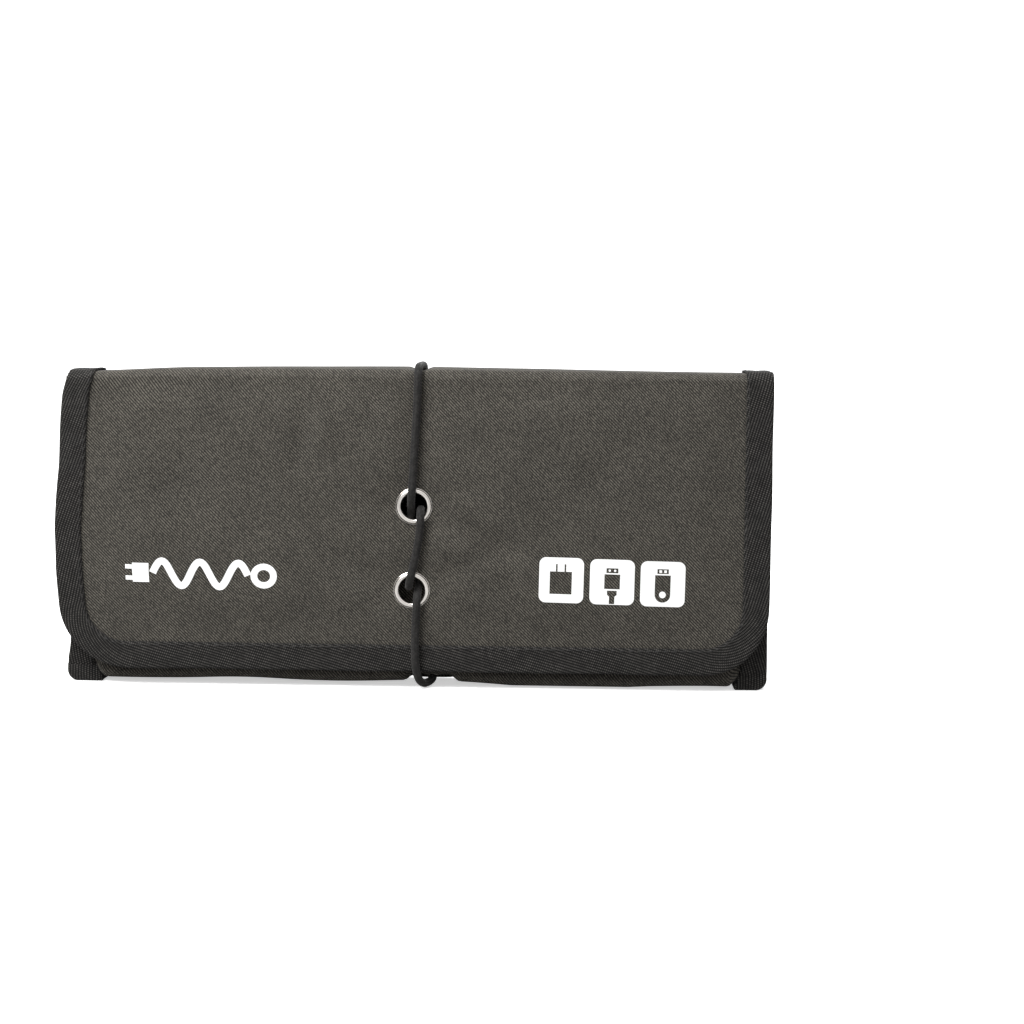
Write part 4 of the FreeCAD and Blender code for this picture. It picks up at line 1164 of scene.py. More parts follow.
def build_cover():
    """The outer cloth in four lengths, each bent over one fold."""
    cloth = outer_cloth()
    plan = [
        ("upper_back", ["back_cloth", "top_cloth", "top_back_fold"], []),
        ("flap", ["flap_cloth", "top_front_fold"], [(UPPER, 1), (LOWER, 1)]),
        ("lower_back", ["bottom_cloth", "bottom_back_fold"], [(BOTTOM, 0)]),
        ("pocket", ["pocket_cloth", "bottom_front_fold"], [(BOTTOM, 0)]),
    ]
    for strip, nodes, holes in plan:
        drop = bottom_sag if strip in ("lower_back", "pocket") else None
        piece = strip_sheet(f"{strip}_cover", strip, PANEL - CLOTH, PANEL, cloth, CLOTH_PITCH,
                            cloth_relief, drop, holes)
        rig.replaces(piece, *nodes)
        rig.slot(piece, "melange_cloth")
        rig.padded(piece, fill=0.3)
        bend(piece, strip)


def build_lining():
    """The lining in four lengths, each bent over one fold."""
    cloth = lining_cloth()
    plan = [
        ("upper_back", ["back_lining", "top_lining"], [], "back_stiffener"),
        ("flap", ["flap_lining"], [(UPPER, 1), (LOWER, 1)], "flap_stiffener"),
        ("lower_back", ["bottom_lining"], [(BOTTOM, 0)], "bottom_stiffener"),
        ("pocket", ["pocket_lining"], [(BOTTOM, 0)], "pocket_stiffener"),
    ]
    for strip, nodes, holes, rest in plan:
        def relief(_, x, y, z, turn):
            return 0.06 * MM * noise.noise(Vector((x * 60, y * 60, z * 60)))
        piece = strip_sheet(f"{strip}_lining", strip, LINING, 0.0, cloth, 2.0 * MM, relief, None, holes)
        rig.replaces(piece, *nodes)
        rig.slot(piece, "lining")
        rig.sheet(piece, flat=(2 * EDGE, lengths(strip_stations(strip), LINING)[-1]), held="stretched",
                 rests_on=[rest])
        bend(piece, strip)


def build_top_foam():
    """The foam in the top, which hangs down with the cloth at its left end."""
    box_low = low("top_stiffener")
    box_high = high("top_stiffener")
    columns = 60
    rows = 6

    def spot(row, column, z):
        x = box_low.x + (box_high.x - box_low.x) * column / columns
        return (x, box_low.y + (box_high.y - box_low.y) * row / rows, z - corner_slump(x, TOP_IN))

    def place(row, column):
        return (column / columns, row / rows)

    foam = sheet_solid("top_foam", rows, columns, lambda row, column: spot(row, column, box_high.z),
                       lambda row, column: spot(row, column, box_low.z), place, bpy.data.materials["foam"])
    soften(foam, 55)
    finish_piece(foam, "top_spine", "foam", "top_stiffener")
    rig.padded(foam, fill=0.5)


def tape_stations(strip, side=None):
    """Return a strip's tape stations: place on the panel's edge, way out, face normal and fold share."""
    stations = strip_stations(strip, TAPE_PITCH)
    radius = STRIPS[strip]["round"]
    result = []

    def add(x_sign, station, fold):
        y, z, turn = station
        result.append((Vector((x_sign * EDGE, y, z)), Vector((x_sign, 0, 0)),
                       Vector((0, math.cos(turn), math.sin(turn))), fold))

    def fold_share(index):
        y, z, turn = stations[index]
        nearest = min(abs(turn - other[2]) + math.hypot(y - other[0], z - other[1]) / (2.2 * MM)
                      for other in turning)
        return 1 - smooth_step(nearest)

    axis = STRIPS[strip]["fold"][:2]
    turning = [station for station in stations
               if math.hypot(station[0] - axis[0], station[1] - axis[1]) < 1e-9]
    if not radius:
        for index, station in enumerate(stations):
            add(side, station, fold_share(index))
        return result
    end_z = stations[-1][1]
    away = 1 if end_z > stations[-2][1] else -1
    stop = end_z - away * radius
    straight_part = [index for index, station in enumerate(stations)
                     if abs(station[2]) < math.pi - 0.01 or (stop - station[1]) * away > 0.3 * MM]
    normal = Vector((0, -1, 0))
    plane_y = stations[-1][0]
    for index in straight_part:
        add(-1, stations[index], fold_share(index))
    steps = 18
    for sign in (-1, 1):
        centre = Vector((sign * (EDGE - radius), plane_y, stop))
        for step in range(steps + 1):
            share = step / steps if sign < 0 else 1 - step / steps
            out = Vector((sign * math.cos(share * math.pi / 2), 0, away * math.sin(share * math.pi / 2)))
            result.append((centre + out * radius, out, normal, 0.0))
        if sign < 0:
            run = 2 * (EDGE - radius)
            count = round(run / TAPE_PITCH)
            for step in range(1, count):
                x = -(EDGE - radius) + run * step / count
                result.append((Vector((x, plane_y, end_z)), Vector((0, 0, away)), normal, 0.0))
    for index in reversed(straight_part):
        add(1, stations[index], fold_share(index))
    return result


def tape_profile():
    """Return the folded tape's outline: way out from the edge, height over the inner face and leg."""
    over = PANEL + TAPE
    outline = []
    for share in np.linspace(-TAPE_REACH, 0.1 * MM, 9):
        outline.append((share, over, 0))
    for angle in np.linspace(75, 15, 4):
        outline.append((0.1 * MM + 0.8 * MM * math.cos(math.radians(angle)),
                        over - 0.8 * MM + 0.8 * MM * math.sin(math.radians(angle)), 0))
    outline += [(TAPE, PANEL * 0.7, 0), (TAPE, PANEL * 0.3, 1)]
    for angle in np.linspace(-15, -75, 4):
        outline.append((0.1 * MM + 0.8 * MM * math.cos(math.radians(angle)),
                        -TAPE + 0.8 * MM + 0.8 * MM * math.sin(math.radians(angle)), 1))
    for share in np.linspace(0.1 * MM, -TAPE_REACH, 9):
        outline.append((share, -TAPE, 1))
    outline += [(-TAPE_REACH, -0.05 * MM, 1), (0, -0.05 * MM, 1), (0, PANEL * 0.5, 1),
                (0, PANEL + 0.05 * MM, 0), (-TAPE_REACH, PANEL + 0.05 * MM, 0)]
    return outline


def tape_point(station, out, height, leg, travelled, strip):
    """Return one point of the tape; its inner leg closes up where the panel folds."""
    spot, way, normal, fold = station
    if leg and height < 0.2 * MM:
        height = height * (1 - fold) + 0.02 * MM * fold
    wave = noise.noise(Vector((travelled * 38, spot.x * 9, 2.0))) * 0.45 * MM
    if leg == 0 and height > PANEL + 0.3 * MM:
        height += noise.noise(Vector((travelled * 55, out * 300, 9.0))) * 0.22 * MM
    if leg == 0:
        height -= edge_give(strip, spot.x, math.atan2(normal.z, normal.y))
    loose = smooth_step((out + TAPE_REACH) / TAPE_REACH)
    place = spot + way * (out + wave * loose) + normal * height
    place.x += side_bow(strip, place.x, place.y, place.z)
    place.z -= corner_slump(place.x, min(place.z, TOP_IN))
    return place


def face_step(before, after):
    """Return the distance between two tape stations along the panel's outer face."""
    return (after[0] + after[2] * PANEL - before[0] - before[2] * PANEL).length


def thread():
    """Black sewing thread."""
    return grained("thread", (0.009, 0.0085, 0.008), 0.7, scale=4000)


def sweep_tape(name, stations, strip, material):
    """Return the binding tape swept along its stations."""
    profile = tape_profile()
    count = len(profile)
    arc = [0.0]
    for before, after in zip(profile, profile[1:]):
        arc.append(arc[-1] + math.hypot(after[0] - before[0], after[1] - before[1]))
    spots = []
    places = []
    travelled = 0.0
    for index, station in enumerate(stations):
        if index:
            travelled += face_step(stations[index - 1], station)
        for (out, height, leg), across in zip(profile, arc):
            spots.append(tape_point(station, out, height, leg, travelled, strip))
            places.append((travelled, across))
    faces = []
    for index in range(len(stations) - 1):
        for side in range(count):
            first = index * count + side
            second = index * count + (side + 1) % count
            faces.append([first, second, second + count, first + count])
    last = (len(stations) - 1) * count
    faces.append(list(range(count - 1, -1, -1)))
    faces.append([last + side for side in range(count)])
    piece = make_piece(name, spots, faces, places, material)
    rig.slot(piece, "binding_tape")
    return piece


def stitches(name, stations, heights, strip, out=-8.1):
    """Return a row of sunk stitches on each face of the tape."""
    settings = bpy.context.scene.pouch_tape
    spots = []
    faces = []
    places = []
    pitch = settings.stitch * 1.35
    for height in heights:
        line = []
        normals = []
        travelled = 0.0
        for index, station in enumerate(stations):
            if index:
                travelled += face_step(stations[index - 1], station)
            outer = height > 0
            if not outer and station[3] > 0.05:
                continue
            line.append(tape_point(station, out * MM, height, 0 if outer else 1, travelled, strip))
            normals.append(station[2] if outer else -station[2])
        run = 0.0
        due = pitch / 2
        for index in range(1, len(line)):
            piece_way = line[index] - line[index - 1]
            while run + piece_way.length > due and piece_way.length > 1e-9:
                centre = line[index - 1] + piece_way.normalized() * (due - run)
                add_stitch(spots, faces, places, centre, piece_way.normalized(), normals[index], settings)
                due += pitch
            run += piece_way.length
    piece = make_piece(name, spots, faces, places, thread())
    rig.slot(piece, "binding_tape")
    return piece


def close_rings(faces, first, rings, sides):
    """Add the faces of a closed bar whose rings of points follow each other."""
    for ring in range(rings - 1):
        start = first + ring * sides
        for turn in range(sides):
            beyond = (turn + 1) % sides
            faces.append([start + turn, start + beyond, start + sides + beyond, start + sides + turn])
    faces.append([first + turn for turn in range(sides - 1, -1, -1)])
    faces.append([first + (rings - 1) * sides + turn for turn in range(sides)])


def add_stitch(spots, faces, places, centre, way, normal, settings):
    """Add one stitch, a small rounded bar whose ends dip into the tape."""
    side = way.cross(normal).normalized()
    half = settings.stitch / 2
    radius = settings.thread / 2
    first = len(spots)
    rings = [(-1.0, -1.1, 0.5), (-0.6, 0.0, 1.0), (0.6, 0.0, 1.0), (1.0, -1.1, 0.5)]
    for share, sink, width in rings:
        for turn in range(6):
            angle = math.pi * turn / 3
            spots.append(centre + way * half * share + side * math.cos(angle) * radius * width
                         + normal * (math.sin(angle) * radius * width + sink * radius))
            places.append((share * half, turn * 0.0001))
    close_rings(faces, first, len(rings), 6)


def build_binding():
    """The binding tape and its stitching along all four strips."""
    tape = tape_cloth()
    names = {
        "upper_back": ["back_binding", "top_binding", "top_back_fold_tape"],
        "flap": ["flap_binding", "top_front_fold_tape"],
        "lower_back": ["bottom_binding", "bottom_back_fold_tape"],
        "pocket": ["pocket_binding", "bottom_front_fold_tape"],
    }
    for strip, nodes in names.items():
        sides = [None] if STRIPS[strip]["round"] else [-1, 1]
        for side in sides:
            ending = {None: "", -1: "_left", 1: "_right"}[side]
            stations = tape_stations(strip, side)
            piece = sweep_tape(f"{strip}_tape{ending}", stations, strip, tape)
            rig.replaces(piece, *nodes)
            bend(piece, strip)
            seam = stitches(f"{strip}_stitching{ending}", stations, (PANEL + TAPE, -TAPE), strip)
            bend(seam, strip)


def foot_outline(side):
    """Return a foot's outline in X and Z: a tape end that is round outside and flares a little inside."""
    rim = RIM + (FOOT_BOW if side < 0 else 0.1 * MM)
    top = BASE_IN + 1.6 * MM
    low = 0.03 * MM
    turn = 4.3 * MM
    outline = [(rim - 0.9 * MM, top), (rim - 0.15 * MM, top - 1.8 * MM), (rim, top / 2 + turn / 2)]
    for step in range(9):
        angle = math.pi / 2 * step / 8
        outline.append((rim - turn + turn * math.cos(angle), low + turn - turn * math.sin(angle)))
    inner = RIM - 12.4 * MM
    outline += [((rim + inner) / 2, low), (inner + 0.6 * MM, low), (inner + 0.1 * MM, low + 0.5 * MM),
                (inner + 0.2 * MM, 1.6 * MM), (inner + 1.0 * MM, 3.4 * MM), (inner + 1.9 * MM, top * 0.75),
                (inner + 2.1 * MM, top), ((rim + inner) / 2 + 1 * MM, top)]
    return [(side * x, z) for x, z in outline]


def build_feet():
    """The folded tape ends under the bottom corners, which the pouch stands on."""
    tape = tape_cloth()
    front = POCKET_IN - PANEL - TAPE - 0.25 * MM
    back = high("corner_feet").y
    middle_x = RIM - 6 * MM
    middle_z = BASE_IN / 2
    for side, ending in ((-1, "left"), (1, "right")):
        outline = foot_outline(side)
        count = len(outline)
        rings = [(front, 0.35), (front, 0.8), (front + 0.15 * MM, 0.93), (front + 0.5 * MM, 0.985),
                 (front + 1.1 * MM, 1.0)]
        rings += [(front + 1.1 * MM + (back - front - 2.2 * MM) * step / 8, 1.0) for step in range(1, 9)]
        rings += [(back - 0.5 * MM, 0.985), (back - 0.15 * MM, 0.93), (back, 0.8), (back, 0.35)]
        spots = []
        places = []
        for y, size in rings:
            for x, z in outline:
                wide = side * middle_x + (x - side * middle_x) * size
                tall = max(0.02 * MM, middle_z + (z - middle_z) * size)
                wave = 0.2 * MM * noise.noise(Vector((x * 200, y * 250, z * 200)))
                tuck = 1.2 * MM * smooth_step((tall - 4.5 * MM) / (4 * MM)) if y < POCKET_IN else 0.0
                spots.append(Vector((wide + wave * side, y + tuck, tall)))
                places.append((tall - y, wide + 0.3 * (tall + y)))
        faces = []
        for ring in range(len(rings) - 1):
            for index in range(count):
                first = ring * count + index
                second = ring * count + (index + 1) % count
                faces.append([first, second, second + count, first + count])
        faces.append(list(range(count - 1, -1, -1)))
        faces.append([(len(rings) - 1) * count + index for index in range(count)])
        piece = make_piece(f"tape_foot_{ending}", spots, faces, places, tape)
        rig.replaces(piece, "corner_feet")
        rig.slot(piece, "binding_tape")
        bend(piece, "pocket")


def lathe(name, profile, centre, axis, material, steps=96):
    """Return a turned piece: profile gives radius and height along the axis."""
    axis = Vector(axis).normalized()
    across = axis.orthogonal().normalized()
    beside = axis.cross(across)
    spots = []
    places = []
    for step in range(steps):
        angle = 2 * math.pi * step / steps
        way = across * math.cos(angle) + beside * math.sin(angle)
        for index, (radius, height) in enumerate(profile):
            spots.append(Vector(centre) + way * radius + axis * height)
            places.append((step / steps, index / len(profile)))
    count = len(profile)
    faces = []
    for step in range(steps):
        for index in range(count):
            first = step * count + index
            second = step * count + (index + 1) % count
            beyond = (step + 1) % steps * count
            faces.append([first, second, beyond + (index + 1) % count, beyond + index])
    return make_piece(name, spots, faces, places, material)


def eyelet_profile():
    """Return the outline of a rolled eyelet: rounded flange, bore and barrel end."""
    rim = [(6.85, -0.05), (6.85, 0.2), (6.8, 0.32), (6.68, 0.36), (6.6, 0.1), (6.5, 0.1), (6.44, 0.42)]
    outline = [(radius * MM, height * MM) for radius, height in rim]
    for angle in np.linspace(20, 160, 11):
        outline.append((5.68 * MM + 0.78 * MM * math.cos(math.radians(angle)),
                        0.3 * MM + 0.6 * MM * math.sin(math.radians(angle))))
    outline += [(EYELET_BORE, 0.2 * MM), (EYELET_BORE, -1.5 * MM), (EYELET_BORE, -PANEL - 0.35 * MM),
                (5.2 * MM, -PANEL - 0.42 * MM), (5.4 * MM, -PANEL - 0.3 * MM), (5.4 * MM, -0.05 * MM)]
    return outline


def washer_profile():
    """Return the outline of the ring behind an eyelet."""
    near = 5.5 * MM
    far = EYELET_RIM
    outline = [(near, -PANEL), (near, -PANEL - 0.32 * MM)]
    for angle in np.linspace(120, 10, 7):
        outline.append((far - 0.45 * MM + 0.45 * MM * math.cos(math.radians(angle)),
                        -PANEL - 0.4 * MM * math.sin(math.radians(angle))))
    return outline + [(far, -PANEL)]


def build_eyelets():
    """The three nickel eyelets and their washers."""
    face_y = low("flap_cloth").y
    spots = {
        "upper": ((UPPER.x, face_y, UPPER.z), (0, -1, 0), "front_flap"),
        "lower": ((LOWER.x, face_y, LOWER.z), (0, -1, 0), "front_flap"),
        "bottom": ((BOTTOM.x, BOTTOM.y, low("bottom_cloth").z), (0, 0, -1), "bottom_spine"),
    }
    for name, (centre, axis, body) in spots.items():
        outline = eyelet_profile()
        # Painted shade in the groove between the flange's lip and the dome.
        shaded_grooves = ((4.5 / len(outline), 0.7 / len(outline)),)
        ring = lathe(f"{name}_rolled_eyelet", outline, centre, axis, nickel("grooved_nickel", shaded_grooves))
        soften(ring, 50)
        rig.replaces(ring, f"{name}_eyelet")
        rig.slot(ring, "eyelet_metal")
        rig.ride(ring, body)
        washer = lathe(f"{name}_eyelet_ring", washer_profile(), centre, axis, nickel())
        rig.replaces(washer, f"{name}_eyelet_washer")
        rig.slot(washer, "eyelet_metal")
        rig.ride(washer, body)


def flat_sheet(name, x0, x1, z0, z1, back, front, material, pitch=3.0 * MM):
    """Return a standing thin sheet between two Y faces."""
    columns = max(2, round(abs(x1 - x0) / pitch))
    rows = max(2, round(abs(z1 - z0) / pitch))

    def spot(row, column, y):
        return (x0 + (x1 - x0) * column / columns, y, z0 + (z1 - z0) * row / rows)

    def place(row, column):
        return (x0 + (x1 - x0) * column / columns + 0.5, z0 + (z1 - z0) * row / rows + 0.5)

    return sheet_solid(name, rows, columns, lambda row, column: spot(row, column, front),
                       lambda row, column: spot(row, column, back), place, material)


def finish_piece(piece, body, slot, *nodes):
    """Hang a piece on its body, with its slot and the frame nodes that it stands for."""
    if nodes:
        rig.replaces(piece, *nodes)
    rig.slot(piece, slot)
    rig.ride(piece, body)
    return piece


def seam_line(name, corners, normal, body, slot):
    """Add a row of stitches along straight lines between corners."""
    settings = bpy.context.scene.pouch_tape
    spots = []
    faces = []
    places = []
    corners = [Vector(spot) for spot in corners]
    for start, end in zip(corners, corners[1:]):
        way = end - start
        count = max(1, int(way.length / (settings.stitch * 1.4)))
        for index in range(count):
            centre = start + way * (index + 0.5) / count
            add_stitch(spots, faces, places, centre, way.normalized(), Vector(normal), settings)
    piece = make_piece(name, spots, faces, places, thread())
    return finish_piece(piece, body, slot)


def build_flap_pockets():
    """The two mesh pockets behind the flap and their elastic hems."""
    y_back = high("flap_mesh_pockets").y
    hem_back = high("mesh_pocket_hems").y
    inner = 14 * MM
    outer = high("flap_mesh_pockets").x
    bottom = low("flap_mesh_pockets").z
    top = high("flap_mesh_pockets").z
    hem = low("mesh_pocket_hems").z
    for side, ending in ((-1, "left"), (1, "right")):
        xs = sorted((side * inner, side * outer))
        mesh = flat_sheet(f"mesh_pocket_{ending}", xs[0], xs[1], bottom, top, FLAP_IN, y_back, mesh_cloth())
        finish_piece(mesh, "front_flap", "pocket_mesh", "flap_mesh_pockets")
        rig.sheet(mesh, flat=(xs[1] - xs[0], top - bottom), held="stretched", rests_on=["flap_stiffener"])
        band = flat_sheet(f"mesh_hem_{ending}", xs[0], xs[1], hem, top, y_back, hem_back, elastic_cloth(),
                          pitch=2 * MM)
        finish_piece(band, "front_flap", "elastic_band", "mesh_pocket_hems")
        rise = 0.1 * MM
        seam_line(f"mesh_seam_{ending}",
                  [(xs[0] + 2 * MM, y_back + rise, hem), (xs[0] + 2 * MM, y_back + rise, bottom + 2 * MM),
                   (xs[1] - 2 * MM, y_back + rise, bottom + 2 * MM), (xs[1] - 2 * MM, y_back + rise, hem)],
                  (0, 1, 0), "front_flap", "pocket_mesh")


def build_pocket_sleeve():
    """The sleeve on the pocket panel, its hem and the seams that divide it."""
    half = high("pocket_sleeve").x
    bottom = low("pocket_sleeve").z
    top = high("pocket_sleeve").z
    face = high("pocket_sleeve").y
    hem_face = high("pocket_sleeve_hem").y
    sleeve = flat_sheet("card_sleeve", -half, half, bottom, top, POCKET_IN, face, lining_cloth())
    finish_piece(sleeve, "pocket_panel", "pocket_mesh", "pocket_sleeve")
    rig.sheet(sleeve, flat=(2 * half, top - bottom), held="stretched", rests_on=["pocket_stiffener"])
    hem = flat_sheet("card_sleeve_hem", -half, half, low("pocket_sleeve_hem").z, top, face, hem_face,
                     elastic_cloth(), pitch=2 * MM)
    finish_piece(hem, "pocket_panel", "elastic_band", "pocket_sleeve_hem")
    for index in range(5):
        x = -half + 2 * MM + (2 * half - 4 * MM) * index / 4
        seam_line(f"card_seam_{index}", [(x, face + 0.1 * MM, bottom), (x, face + 0.1 * MM, top - 6 * MM)],
                  (0, 1, 0), "pocket_panel", "pocket_mesh")
    base = bottom + 1.5 * MM
    seam_line("card_seam_base", [(-half, face + 0.1 * MM, base), (half, face + 0.1 * MM, base)],
              (0, 1, 0), "pocket_panel", "pocket_mesh")


def copy_refined(name, node, width, material, body, slot):
    """Return a piece with a frame node's shape and rounded edges."""
    mesh = bpy.data.objects[node].data.copy()
    mesh.name = name
    piece = bpy.data.objects.new(name, mesh)
    bpy.context.scene.collection.objects.link(piece)
    shape = bmesh.new()
    shape.from_mesh(mesh)
    bmesh.ops.remove_doubles(shape, verts=shape.verts, dist=1e-6)
    bmesh.ops.dissolve_limit(shape, angle_limit=math.radians(2), verts=shape.verts, edges=shape.edges)
    sharp = [edge for edge in shape.edges
             if len(edge.link_faces) == 2 and edge.calc_face_angle() > math.radians(50)]
    bmesh.ops.bevel(shape, geom=sharp, offset=width, segments=3, profile=0.6, affect="EDGES",
                    clamp_overlap=True)
    bmesh.ops.recalc_face_normals(shape, faces=shape.faces)
    shape.to_mesh(mesh)
    shape.free()
    mesh.materials.clear()
    mesh.materials.append(material)
    soften(piece, 30)
    return finish_piece(piece, body, slot, node)


def build_zip_pocket():
    """The zip pocket inside the back panel: piping, sheet, tapes, coil teeth, stops, slider and pull."""
    half = high("zip_pocket_sheet").x
    sheet_back = high("zip_pocket_sheet").y
    sheet_front = low("zip_pocket_sheet").y
    bottom = low("zip_pocket_sheet").z
    tape_low = low("zip_tapes").z
    tape_high = high("zip_tapes").z
    middle = (tape_low + tape_high) / 2
    slot = 0.6 * MM
    sheet = flat_sheet("zip_pocket_front", -half, half, bottom, tape_low, sheet_back, sheet_front,
                       lining_cloth())
    finish_piece(sheet, "back_panel", "pocket_mesh", "zip_pocket_sheet")
    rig.sheet(sheet, flat=(2 * half, tape_low - bottom), held="stretched", rests_on=["back_stiffener"])
    for ending, z0, z1 in (("lower", tape_low, middle - slot), ("upper", middle + slot, tape_high)):
        tape = flat_sheet(f"zip_tape_{ending}", -half, half, z0, z1, sheet_back, sheet_front, zip_cloth(),
                          pitch=2 * MM)
        finish_piece(tape, "back_panel", "zip_tape", "zip_tapes")
    wide = 3 * MM
    bars = [(-half, -half + wide, bottom, tape_high),
            (half - wide, half, bottom, tape_high),
            (-half + wide, half - wide, bottom, bottom + wide),
            (-half + wide, half - wide, tape_high - wide, tape_high)]
    for index, (x0, x1, z0, z1) in enumerate(bars):
        bar = flat_sheet(f"zip_piping_{index}", x0, x1, z0, z1, BACK_IN, sheet_back, tape_cloth(),
                         pitch=1.5 * MM)
        finish_piece(bar, "back_panel", "binding_tape", "zip_pocket_edge")
    seam_y = sheet_front - 0.1 * MM
    side = half - 1.5 * MM
    seam_low = bottom + 1.5 * MM
    seam_high = tape_high - 1.5 * MM
    seam_line("zip_pocket_seam",
              [(-side, seam_y, seam_high), (-side, seam_y, seam_low), (side, seam_y, seam_low),
               (side, seam_y, seam_high)],
              (0, -1, 0), "back_panel", "pocket_mesh")
    seam_line("zip_tape_seam", [(-half, seam_y, tape_low + 1.2 * MM), (half, seam_y, tape_low + 1.2 * MM)],
              (0, -1, 0), "back_panel", "pocket_mesh")
    build_teeth()
    zip_nodes = [("zip_slider_body", "zip_slider", "zip_slider"), ("zip_pull_tab", "zip_pull", "zip_pull")]
    for name, node, body in zip_nodes:
        copy_refined(name, node, 0.16 * MM, zip_metal(), body, "zip_metal")
    copy_refined("zip_end_stops", "zip_stops", 0.2 * MM, zip_metal(), "back_panel", "zip_metal")


def build_teeth():
    """The two rows of coil teeth: rounded bars side by side along the zip."""
    box_low = low("zip_teeth")
    box_high = high("zip_teeth")
    middle = (box_low.z + box_high.z) / 2
    middle_y = (box_low.y + box_high.y) / 2
    pitch = 1.15 * MM
    count = int((box_high.x - box_low.x) / pitch)
    spots = []
    faces = []
    places = []
    for side in (-1, 1):
        for index in range(count):
            x = box_low.x + (index + 0.5) * pitch
            near = middle + side * 0.62 * MM
            far = middle + side * (box_high.z - middle)
            first = len(spots)
            rings = 5
            for ring in range(rings):
                share = ring / (rings - 1)
                z = near + (far - near) * share
                bulge = math.sin(math.pi * (0.12 + 0.76 * share)) ** 0.5
                for turn in range(8):
                    angle = 2 * math.pi * turn / 8
                    spots.append(Vector((x + math.cos(angle) * 0.5 * MM * bulge,
                                         middle_y + math.sin(angle) * 0.72 * MM * bulge, z)))
                    places.append((x, z))
            close_rings(faces, first, rings, 8)
    teeth = make_piece("zip_coil", spots, faces, places, grained("coil_nylon", (0.02, 0.02, 0.021), 0.4))
    finish_piece(teeth, "back_panel", "zip_plastic", "zip_teeth")


def build_cable_loops():
    """The elastic band that stands off in four soft loops between its tacks."""
    box_low = low("cable_loops")
    box_high = high("cable_loops")
    base = box_high.y
    pitch = 50 * MM
    band = 0.8 * MM
    depth = base - box_low.y - band
    count = 4 * 48
    line = []
    for index in range(count + 1):
        x = box_low.x + (box_high.x - box_low.x) * index / count
        local = ((x - box_low.x) % pitch) / pitch if index < count else 0.0
        out = smooth_step((local - 0.185) / 0.035) * smooth_step((0.815 - local) / 0.035)
        line.append(Vector((x, base - out * depth, 0)))
    rows = 10

    def spot(column, row, shift):
        before = line[max(0, column - 1)]
        after = line[min(count, column + 1)]
        way = (after - before).normalized()
        side = Vector((way.y, -way.x, 0))
        z = box_low.z + (box_high.z - box_low.z) * row / rows
        edge = 1 - 0.35 * (abs(2 * row / rows - 1) ** 8)
        place = line[column] + side * shift * edge
        return (place.x, min(place.y, base - 0.01 * MM), z)

    piece = sheet_solid("elastic_cable_loops", rows, count, lambda row, column: spot(column, row, band),
                        lambda row, column: spot(column, row, 0.0),
                        lambda row, column: (column * 1.25 * MM, row * 1.5 * MM), elastic_cloth())
    finish_piece(piece, "back_panel", "elastic_band", "cable_loops")
    face = base - band - 0.1 * MM
    for tack in range(5):
        x = box_low.x + tack * pitch + (3 * MM if tack == 0 else -3 * MM if tack == 4 else 0)
        for number, shift in enumerate((-1.2 * MM, 0, 1.2 * MM)):
            ends = [(x + shift, face, box_low.z + 1 * MM), (x + shift, face, box_high.z - 1 * MM)]
            seam_line(f"loop_tack_{tack}_{number}", ends, (0, -1, 0), "back_panel", "elastic_band")


def build_anchor_patch():
    """The leather-like patch sewn over the cord's end on the back, raised over the cord."""
    box_low = low("cord_anchor_patch")
    box_high = high("cord_anchor_patch")
    columns = 40
    rows = 36
    middle = (box_low.x + box_high.x) / 2
    half = (box_high.x - box_low.x) / 2
    tall = box_high.z - box_low.z

    def spot(row, column, outer):
        across = 2 * column / columns - 1
        up = row / rows
        corner_inset = max(0.0, abs(2 * up - 1) - 0.78) / 0.22
        x = middle + half * across * (1 - 0.1 * corner_inset ** 2)
        z = box_low.z + tall * up
        face = box_low.y + 0.05 * MM
        if not outer:
            return (x, face, z)
        over = math.exp(-((x - middle) / (2.3 * MM)) ** 2) * smooth_step((up - 0.12) / 0.35)
        rim = smooth_step((1 - abs(across)) / 0.06) * smooth_step(min(up, 1 - up) / 0.05)
        thick = 0.35 * MM + 0.85 * MM * rim
        return (x, face + thick + over * (box_high.y - face - 1.2 * MM), z)

    patch = sheet_solid("anchor_patch", rows, columns, lambda row, column: spot(row, column, True),
                        lambda row, column: spot(row, column, False),
                        lambda row, column: (column * 0.5 * MM, row * 0.5 * MM),
                        grained("patch_leather", (0.018, 0.017, 0.016), 0.55, scale=1400, bump=0.00008))
    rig.replaces(patch, "cord_anchor_patch")
    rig.slot(patch, "patch")
    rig.ride(patch, "back_panel")
    y = box_low.y + 1.3 * MM
    inset = 1.8 * MM
    seam_line("anchor_patch_seam",
              [(box_low.x + inset, y, box_low.z + inset), (box_high.x - inset, y, box_low.z + inset),
               (box_high.x - inset, y, box_high.z - inset), (middle + 4.5 * MM, y, box_high.z - inset)],
              (0, 1, 0), "back_panel", "patch")
    seam_line("anchor_patch_seam_left",
              [(box_low.x + inset, y, box_low.z + inset), (box_low.x + inset, y, box_high.z - inset),
               (middle - 4.5 * MM, y, box_high.z - inset)], (0, 1, 0), "back_panel", "patch")


def rounded_box(half_x, half_z, radius, steps=8):
    """Return the outline of a rounded rectangle about the origin, anticlockwise."""
    outline = []
    for quarter in range(4):
        sign_x = (1, -1, -1, 1)[quarter]
        sign_z = (1, 1, -1, -1)[quarter]
        for step in range(steps + 1):
            angle = math.pi / 2 * (quarter + step / steps)
            outline.append((sign_x * (half_x - radius) + radius * math.cos(angle),
                            sign_z * (half_z - radius) + radius * math.sin(angle)))
    return outline


def circle(x, z, radius, steps=24):
    """Return the outline of a circle."""
    turns = [2 * math.pi * step / steps for step in range(steps)]
    return [(x + radius * math.cos(turn), z + radius * math.sin(turn)) for turn in turns]


def box_outline(x0, z0, x1, z1):
    """Return the outline of a rectangle."""
    return [(x0, z0), (x1, z0), (x1, z1), (x0, z1)]


